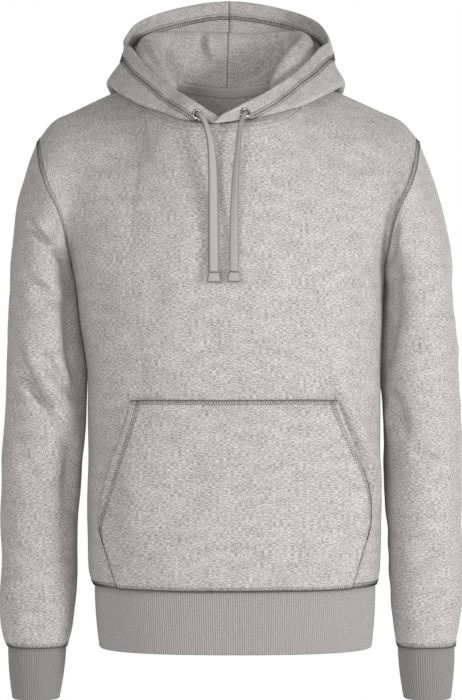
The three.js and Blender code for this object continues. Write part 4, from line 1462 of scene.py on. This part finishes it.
def rib_piece(name, section, ribs, squareness):
    """A tube of doubled rib knit, with ribs on both faces and a folded lower edge."""
    knit, relief = sizes().rib_knit / MM, sizes().rib_relief / MM
    count = ribs * RIB_POINTS
    upper = {key: cells[0] for key, cells in section.items()}
    lower = {key: cells[1] for key, cells in section.items()}
    shares = even_shares(upper, squareness, 0, 1, count)[:-1]
    rings = [section_point(row, shares, squareness) for row in (upper, lower)]
    height = np.linalg.norm(rings[0][0] - rings[1][0])
    radius = knit / 2
    fold = radius * (1 - np.cos(np.linspace(0, np.pi / 2, 5)))[::-1]
    down = np.concatenate([np.linspace(0, height - radius, RIB_ROWS), height - fold[1:]])
    t = (down / height)[:, None, None]
    surface = mix(rings[0][None], rings[1][None], t)
    outward = np.stack(
        [
            np.roll(surface[..., 1], -1, axis=1) - np.roll(surface[..., 1], 1, axis=1),
            np.roll(surface[..., 0], 1, axis=1) - np.roll(surface[..., 0], -1, axis=1),
            np.zeros(surface.shape[:2]),
        ],
        axis=-1,
    )
    outward = unit(outward)
    along = np.arange(count)
    groove = (0.5 - 0.5 * np.cos(2 * np.pi * along / RIB_POINTS)) ** 0.8
    near_seam = 0.25 * np.exp(-((down / 3) ** 2))[:, None]
    bulge = 1.2 * np.sin(np.pi * down / height)[:, None]
    inward = rounded(height - down, knit)[:, None]
    outer = surface + outward * (bulge - relief * groove[None] - inward - near_seam)[..., None]
    inner = surface + outward * (bulge - knit + relief * groove[None] + inward + 0.4 * near_seam)[..., None]
    height_count, width = len(down), count
    rows, columns = grid_quads(height_count, width, True)
    layer = height_count * width
    faces = rows * width + columns % width
    around = np.linspace(0, ribs * RIB_PITCH, count + 1)
    flat = np.stack(np.broadcast_arrays(around[None, :], -down[:, None]), axis=-1)
    top = np.arange(width)
    following = (top + 1) % width
    last = (height_count - 1) * width
    top_strip = np.stack([top + layer, following + layer, following, top], axis=-1)
    low_strip = np.stack([top, following, following + layer, top + layer], axis=-1) + last
    low_strip[:, 2:] = np.stack([following + layer, top + layer], axis=-1) + last
    all_faces = np.vstack([faces[:, ::-1], faces + layer, top_strip[:, ::-1], low_strip[:, ::-1]])
    strip_flat = np.stack([flat[0, top], flat[0, top + 1], flat[0, top + 1], flat[0, top]], axis=1)
    uvs = np.vstack([flat[rows, columns][:, ::-1], flat[rows, columns], strip_flat, strip_flat])
    piece = new_piece(name, np.vstack([outer.reshape(-1, 3), inner.reshape(-1, 3)]), all_faces, uvs)
    turn_outwards(piece)
    return piece


def turn_outwards(piece):
    """Turns a closed mesh's faces out if its volume comes out below zero."""
    mesh = piece.data
    mesh.calc_loop_triangles()
    points = np.zeros(len(mesh.vertices) * 3)
    mesh.vertices.foreach_get("co", points)
    points = points.reshape(-1, 3)
    corners = np.zeros(len(mesh.loop_triangles) * 3, int)
    mesh.loop_triangles.foreach_get("vertices", corners)
    a, b, c = (points[corners.reshape(-1, 3)[:, k]] for k in range(3))
    if np.sum(a * np.cross(b, c)) < 0:
        mesh.flip_normals()


class HOODIE_OT_ribs(bpy.types.Operator):
    """Make the ribbed hem and cuffs"""

    bl_idname = "hoodie.ribs"
    bl_label = "Ribbed Hem and Cuffs"

    def execute(self, context):
        hem = rib_piece("hem_rib_knit", HEM_RIB, HEM_RIBS, BODY_SQUARENESS)
        finish(hem, "rib_knit", nodes=["hem_rib"])
        for side in SIDES:
            section = sleeve_section(CUFF, side)
            cuff = rib_piece(f"cuff_knit_{side}", section, CUFF_RIBS, SLEEVE_SQUARENESS)
            finish(cuff, "rib_knit", "cuff_knit", nodes=[f"cuff_{side}"])
        return {"FINISHED"}


class HOODIE_OT_neck_tape(bpy.types.Operator):
    """Make the tape on the inside of the back, under the neck seam"""

    bl_idname = "hoodie.neck_tape"
    bl_label = "Neck Tape"

    def execute(self, context):
        back = Pattern.get().cloth["back_panel"]
        width = sizes().tape_width / MM
        _, up, _, _ = back.from_edges()
        top, last = up.shape[0] - 1, up.shape[1] - 1 - SHOULDER_STEPS
        columns = np.arange(SHOULDER_STEPS, last + 1).astype(float)
        levels = np.linspace(1 + width, 1, 9)
        grid = []
        for level in levels:
            rows = [np.interp(-level, -up[:, int(c)], np.arange(top + 1)) for c in columns]
            place, _ = back.read(np.array(rows), columns, "inside", lift=0.1)
            grid.append(place)
        points = np.array(grid)
        along = lengths(points.swapaxes(0, 1))[:, 4]
        flat = np.stack(np.broadcast_arrays(along[None, :], -levels[:, None]), axis=-1)
        cloth = Cloth(points, flat, flip=True)
        down, up_edge, _, _ = cloth.from_edges()
        tape = sizes().tape / MM
        cloth.thicken(tape - rounded(np.minimum(down, up_edge), tape), 0.0)
        piece = wall_piece("neck_tape_strip", cloth)
        finish(piece, "neck_tape", nodes=["neck_tape"])
        return {"FINISHED"}


def eyelet_frame(side):
    """The middle of an eyelet on the hood's hem, and the way out of it."""
    cloth = Pattern.get().cloth[f"hood_{side}"]
    _, up, _, _ = cloth.from_edges()
    column = mix(BACK_NECK_STEPS, BACK_NECK_STEPS + FRONT_NECK_STEPS, (EYELET_SHARE[side] - 0.5) * 2)
    row = np.interp(-EYELET_DOWN, -up[:, int(round(column))], np.arange(up.shape[0]))
    place, outward = cloth.read(np.array([row]), np.array([column]), "outside")
    return place[0], outward[0]


# An eyelet's section, as distances from its middle and out of the cloth
EYELET_PROFILE = (
    (3.5, -1.2), (6.0, -0.1), (6.3, 0.35), (6.1, 0.9), (5.5, 1.3), (4.8, 1.45), (4.1, 1.3), (3.6, 0.8),
    (3.45, 0.1), (3.4, -1.1),
)
EYELET_SIDES = 40
# How far out of the cloth the dark disc of painted shade in each eyelet lies
SHADE_DISC_HEIGHT = 0.12


class HOODIE_OT_eyelets(bpy.types.Operator):
    """Set the two eyelets that the drawcord comes out of"""

    bl_idname = "hoodie.eyelets"
    bl_label = "Eyelets"

    def execute(self, context):
        for side in SIDES:
            place, outward = eyelet_frame(side)
            turn = Vector((0, 0, 1)).rotation_difference(Vector(outward)).to_matrix()
            angles = full_turn(EYELET_SIDES)
            profile = np.array(EYELET_PROFILE)
            rings = np.stack(
                [
                    profile[:, None, 0] * np.cos(angles),
                    profile[:, None, 0] * np.sin(angles),
                    np.broadcast_to(profile[:, None, 1], (len(profile), EYELET_SIDES)),
                ],
                axis=-1,
            )
            points = rings.reshape(-1, 3) @ np.array(turn).T + place
            rows, columns = grid_quads(len(profile), EYELET_SIDES, True)
            faces = rows * EYELET_SIDES + columns % EYELET_SIDES
            around = np.arange(EYELET_SIDES)
            last = (len(profile) - 1) * EYELET_SIDES
            beside = (around + 1) % EYELET_SIDES
            closing = np.stack([around + last, beside + last, beside, around], axis=-1)
            all_faces = np.vstack([faces, closing])
            piece = new_piece(f"eyelet_ring_{side}", points, all_faces, np.zeros((len(all_faces), 4, 2)))
            turn_outwards(piece)
            finish(piece, "eyelet_metal", nodes=[f"eyelet_{side}"])
            # A dark disc at the foot of each eyelet's hole is painted shade, for the shadow inside the hole.
            middle = np.array([0, 0, SHADE_DISC_HEIGHT])
            floor = rings[-1] * np.array([1, 1, 0]) + middle
            disc = np.vstack([floor, middle]) @ np.array(turn).T + place
            fan = [(i, (i + 1) % EYELET_SIDES, EYELET_SIDES) for i in range(EYELET_SIDES)]
            hole = new_piece(f"eyelet_hole_{side}", disc, fan, np.zeros((len(fan) * 3, 2)))
            finish(hole, "thread")
        return {"FINISHED"}


TOWARDS_FRONT = (0.0, -1.0, 0.0)


def sweep(name, path, sections):
    """A closed tube through a path of points, with a section of points across and ahead at each."""
    count = sections.shape[1]
    forward = unit(np.gradient(path, axis=0))
    side = unit(np.cross(forward, TOWARDS_FRONT))
    out = np.cross(side, forward)
    points = path[:, None] + side[:, None] * sections[..., :1] + out[:, None] * sections[..., 1:]
    rows, columns = grid_quads(len(path), count, True)
    faces = [tuple(face) for face in rows * count + columns % count]
    faces.append(tuple(range(count))[::-1])
    faces.append(tuple(range((len(path) - 1) * count, len(path) * count)))
    along = lengths(path)
    flat_across = np.concatenate([sections[-1, :, 0], sections[-1, :1, 0]])
    flat = np.stack(np.broadcast_arrays(flat_across[None, :], along[:, None]), axis=-1)
    uvs = np.vstack([flat[rows, columns].reshape(-1, 2), np.zeros((count * 2, 2))])
    piece = new_piece(name, points.reshape(-1, 3), faces, uvs)
    turn_outwards(piece)
    return piece


CORD_POWER = 0.85
TIP_POWER = 0.5
TIP = {"top": 12.3, "low": 16.6, "thick": 3.8, "length": 12.8, "rows": 14, "sides": 28}


class HOODIE_OT_drawcords(bpy.types.Operator):
    """Hang the two ends of the drawcord from their eyelets, with a tip on each"""

    bl_idname = "hoodie.drawcords"
    bl_label = "Drawcord"

    def execute(self, context):
        for side in SIDES:
            hole, outward = eyelet_frame(side)
            route = np.vstack([hole + outward * CORD_START, np.array(CORD_ROUTES[side]) / MM])
            path = even_curve(route, 0, 1, CORD_STEPS)
            shares = np.linspace(0, 1, CORD_STEPS + 1)
            form = read(CORD_FORM[side], "share", shares)
            across, ahead = soft_section(CORD_SIDES, CORD_POWER)
            half = form["width"][:, None] * sizes().cord_width / MM / 2
            thick = form["thick"][:, None] / 2
            turn = np.radians(form["turn"])[:, None]
            x, y = half * across, thick * ahead
            turned = (x * np.cos(turn) - y * np.sin(turn), x * np.sin(turn) + y * np.cos(turn))
            cord = sweep(f"drawcord_{side}_end", path, np.stack(turned, axis=-1))
            finish(cord, "drawcord", nodes=[f"drawcord_{side}"])
            tip = self.tip(side, path[-1])
            finish(tip, "cord_tip", nodes=[f"cord_tip_{side}"])
            (path * MM).tolist()
        return {"FINISHED"}

    def tip(self, side, end):
        """A flared flat tip with soft corners."""
        rows = TIP["rows"]
        down = np.linspace(0, TIP["length"], rows)
        share = down / TIP["length"]
        soft = np.sqrt(np.maximum(1 - np.abs(2 * share - 1) ** 7, 0.12))
        half = mix(TIP["top"], TIP["low"], smooth(share, -0.1, 0.9)) / 2 * (0.72 + 0.28 * soft)
        thick = TIP["thick"] / 2 * (0.35 + 0.65 * soft)
        across, ahead = soft_section(TIP["sides"], TIP_POWER)
        sections = np.stack([half[:, None] * across, thick[:, None] * ahead], axis=-1)
        path = np.stack([np.full(rows, end[0]), np.full(rows, end[1]), end[2] - 0.1 - down], axis=-1)
        return sweep(f"cord_tip_{side}_cap", path, sections)


EDGES = ("first_row", "last_row", "first_column", "last_column")
EDGE_STEPS = 4
EDGE_SMOOTHING = 4
# How far the middle of each seam lies from the edge that it holds
SEAM_INSET = {
    "cuff": 2.6, "hood_hem": 3.6, "hood_middle": 0.3, "hem": 3.6, "armhole": 3.0,
    "pocket_foot": 2.8, "pocket_top": 3.2, "pocket_side": 1.8, "neck": (3.5, 8.5),
}
TWO_ROWS = (-0.5, 0.5)
THREE_ROWS = (-0.5, 0, 0.5)


def edge_line(cloth, edge, inset, way="outside", start=0.0, end=1.0, lift=0.15):
    """Points on a piece at a distance from one of its edges, between two shares of that edge."""
    by_row = edge.endswith("row")
    order = 1 if edge.startswith("first") else -1
    distances = dict(zip(EDGES, cloth.from_edges()))[edge]
    if not by_row:
        distances = distances.T
    depth, length = distances.shape
    along = np.linspace(start, end, EDGE_STEPS * length) * (length if by_row and cloth.closed else length - 1)
    nearest = np.round(along).astype(int) % length
    inset = np.broadcast_to(inset, (length,))
    inward = [np.interp(order * inset[i], order * distances[:, i], np.arange(depth)) for i in nearest]
    window = 2 * EDGE_SMOOTHING + 1
    inward = np.convolve(np.pad(inward, EDGE_SMOOTHING, mode="edge"), np.ones(window) / window, mode="valid")
    rows, columns = (inward, along) if by_row else (along, inward)
    return cloth.read(rows, columns, way, lift)


class HOODIE_OT_sewing(bpy.types.Operator):
    """Sew the cover seams and the plain stitches"""

    bl_idname = "hoodie.sewing"
    bl_label = "Sewing"

    def execute(self, context):
        cloth = Pattern.get().cloth
        pitch, thread, cover = sizes().stitch / MM, sizes().thread / MM, sizes().cover_width / MM
        dark, pale = [], []

        def cover_seam(name, edge, inset, width=1.0, thick=1.0, rows=TWO_ROWS, **span):
            line = edge_line(cloth[name], edge, inset, **span)
            dark.append(cover_stitch(*line, cover * width, pitch, thread * thick, rows))

        for side in SIDES:
            cover_seam(f"sleeve_{side}", "last_row", SEAM_INSET["cuff"])
            hood = f"hood_{side}"
            inset = hem_reach(cloth[hood].from_edges()[0]) - SEAM_INSET["hood_hem"]
            for way in ("outside", "inside"):
                cover_seam(hood, "last_row", inset, 1.4, rows=THREE_ROWS, way=way, end=0.985)
        for way in ("outside", "inside"):
            line = edge_line(cloth["hood_right"], "first_column", SEAM_INSET["hood_middle"], way, lift=0.1)
            dark.append(plain_stitch(*line, pitch, thread * 0.9))
        armpit = BODY_ROWS / (BODY_ROWS + ARMHOLE_STEPS)
        for name in ("front_panel", "back_panel"):
            cover_seam(name, "first_row", SEAM_INSET["hem"], 1.1, 1.25)
            for edge in ("first_column", "last_column"):
                cover_seam(name, edge, SEAM_INSET["armhole"], start=armpit, end=0.995)
        cover_seam("pocket", "first_row", SEAM_INSET["pocket_foot"])
        cover_seam("pocket", "last_row", SEAM_INSET["pocket_top"], 1.1, 1.15)
        mouth = (POCKET_MOUTH_END - POCKET["z"][0]) / (POCKET["z"][-1] - POCKET["z"][0])
        levels = cloth["pocket"].points[:, POCKET_COLUMNS // 2, 2]
        for side, edge in zip(SIDES, ("first_column", "last_column")):
            heights, insets = zip(*MOUTH_STITCHES[side])
            first = (heights[0] - levels[0]) / (levels[-1] - levels[0])
            cover_seam("pocket", edge, np.interp(levels, heights, insets), start=first)
            cover_seam("pocket", edge, SEAM_INSET["pocket_side"], 0.5, 0.8, end=mouth)
        shoulder = SHOULDER_STEPS / (cloth["front_panel"].points.shape[1] - 1)
        for inset in SEAM_INSET["neck"]:
            line = edge_line(cloth["front_panel"], "last_row", inset, start=shoulder, end=1 - shoulder)
            pale.append(plain_stitch(*line, pitch, thread))
        seams = (("cover_seams", dark, "thread"), ("neck_stitches", pale, "pale_thread"))
        for name, parts, material in seams:
            vertices, faces, uvs = joined(parts)
            finish(new_piece(name, vertices, faces, uvs.reshape(-1, 2)), "thread", material)
        return {"FINISHED"}


# Studio


class HoodieStudio(bpy.types.PropertyGroup):
    """Sizes and strengths of the studio."""

    distance: length_property("Camera distance", "From the camera to the garment's middle", 3.5)
    height: length_property("Camera height", "Height of the camera", -0.325)
    lens: FloatProperty(name="Lens", description="Focal length in millimetres", default=144.0)
    floor: length_property("Floor", "Height of the floor", -1.15)
    key: FloatProperty(name="Softboxes", description="Power of a softbox in watts", default=75.0)
    surround: FloatProperty(name="Surround", description="Brightness of the pale room", default=0.42)
    backdrop: FloatProperty(name="Backdrop", description="Brightness of the white backdrop", default=1.0)


SENSOR = 36.0
# The softboxes' places, and each one's share of the power
SOFTBOXES = (
    (-1.3, -3.0, 0.2, 0.36),
    (2.4, -1.9, 0.16, 0.9),
    (0.15, -3.3, -0.12, 0.45),
    (1.6, 3.1, 0.3, 0.6),
)
SOFTBOX_SIZE = 0.6
FLOOR_SIZE = 40.0
BACKDROP = {"y": 2.6, "half": 1.3, "top": 0.9}


class HOODIE_OT_stage(bpy.types.Operator):
    """Set up the floor, the softboxes and the camera"""

    bl_idname = "hoodie.stage"
    bl_label = "Studio"

    def execute(self, context):
        studio = context.scene.hoodie_studio
        scene = context.scene
        scene.view_settings.view_transform = "Standard"
        world = scene.world or bpy.data.worlds.new("studio")
        scene.world = world
        world.use_nodes = True
        background = find_node(world.node_tree, "BACKGROUND")
        background.inputs["Color"].default_value = (1, 1, 1, 1)
        background.inputs["Strength"].default_value = studio.surround
        half = FLOOR_SIZE / 2 / MM
        corners = [(-half, -half, 0), (half, -half, 0), (half, half, 0), (-half, half, 0)]
        floor = new_piece("floor", np.array(corners) + (0, 0, studio.floor / MM), [(0, 1, 2, 3)])
        chalk = {"Base Color": (1, 1, 1, 1), "Roughness": 1.0, "Specular IOR Level": 0.0}
        paint, _ = plain_material("floor_paint", chalk)
        floor.data.materials.append(paint)
        half, y, top = (BACKDROP[name] / MM for name in ("half", "y", "top"))
        low = studio.floor / MM
        corners = [(-half, y, low), (half, y, low), (half, y, top), (-half, y, top)]
        backdrop = new_piece("backdrop", np.array(corners), [(0, 1, 2, 3)])
        white = {
            "Base Color": (0, 0, 0, 1), "Specular IOR Level": 0.0, "Emission Color": (1, 1, 1, 1),
            "Emission Strength": studio.backdrop,
        }
        glow, shader = plain_material("backdrop_glow", white)
        tree = glow.node_tree
        output = find_node(tree, "OUTPUT_MATERIAL")
        behind = add_node(tree, "ShaderNodeNewGeometry", {}, {}, output="Backfacing")
        clear = behind.node("ShaderNodeBsdfTransparent", {}, {})
        sides = {0: behind, 1: Wire(tree, shader.outputs[0]), 2: clear}
        one_sided = behind.node("ShaderNodeMixShader", {}, sides)
        tree.links.new(one_sided.socket, output.inputs["Surface"])
        backdrop.data.materials.append(glow)
        target = Vector((0, 0, studio.height))
        for i, (x, y, z, share) in enumerate(SOFTBOXES):
            data = bpy.data.lights.new(f"softbox_{i}", "AREA")
            data.shape = "SQUARE"
            data.size = SOFTBOX_SIZE
            data.energy = studio.key * share
            lamp = bpy.data.objects.new(f"softbox_{i}", data)
            lamp.location = (x, y, z)
            lamp.rotation_euler = (target - lamp.location).to_track_quat("-Z", "Y").to_euler()
            context.collection.objects.link(lamp)
        data = bpy.data.cameras.new("camera")
        data.sensor_fit = "VERTICAL"
        data.sensor_height = SENSOR
        data.lens = studio.lens
        camera = bpy.data.objects.new("camera", data)
        camera.location = (0, -studio.distance, studio.height)
        camera.rotation_euler = (math.pi / 2, 0, 0)
        context.collection.objects.link(camera)
        bpy.context.scene.camera = camera
        return {"FINISHED"}


OPERATORS = (
    HOODIE_OT_stage,
    HOODIE_OT_drawcords,
    HOODIE_OT_body,
    HOODIE_OT_pocket,
    HOODIE_OT_sleeves,
    HOODIE_OT_hood,
    HOODIE_OT_ribs,
    HOODIE_OT_neck_tape,
    HOODIE_OT_eyelets,
    HOODIE_OT_sewing,
)


class HOODIE_PT_panel(bpy.types.Panel):
    """Everything that makes the hoodie"""

    bl_label = "Pullover Hoodie"
    bl_idname = "HOODIE_PT_panel"
    bl_space_type = "VIEW_3D"
    bl_region_type = "UI"
    bl_category = "Hoodie"

    def draw(self, context):
        for group in (getattr(context.scene, name) for name in GROUPS):
            box = self.layout.box()
            for name in group.__annotations__:
                box.prop(group, name)
        for operator in OPERATORS:
            self.layout.operator(operator.bl_idname)


GROUPS = {"hoodie_sizes": HoodieSizes, "hoodie_colours": HoodieColours, "hoodie_studio": HoodieStudio}
CLASSES = (*GROUPS.values(), *OPERATORS, HOODIE_PT_panel)


def register():
    for cls in CLASSES:
        bpy.utils.register_class(cls)
    for name, group in GROUPS.items():
        setattr(bpy.types.Scene, name, PointerProperty(type=group))


def unregister():
    for name in GROUPS:
        delattr(bpy.types.Scene, name)
    for cls in reversed(CLASSES):
        bpy.utils.unregister_class(cls)


def main():
    register()
    for operator in OPERATORS:
        area, name = operator.bl_idname.split(".")
        getattr(getattr(bpy.ops, area), name)()


if __name__ == "__main__":
    main()
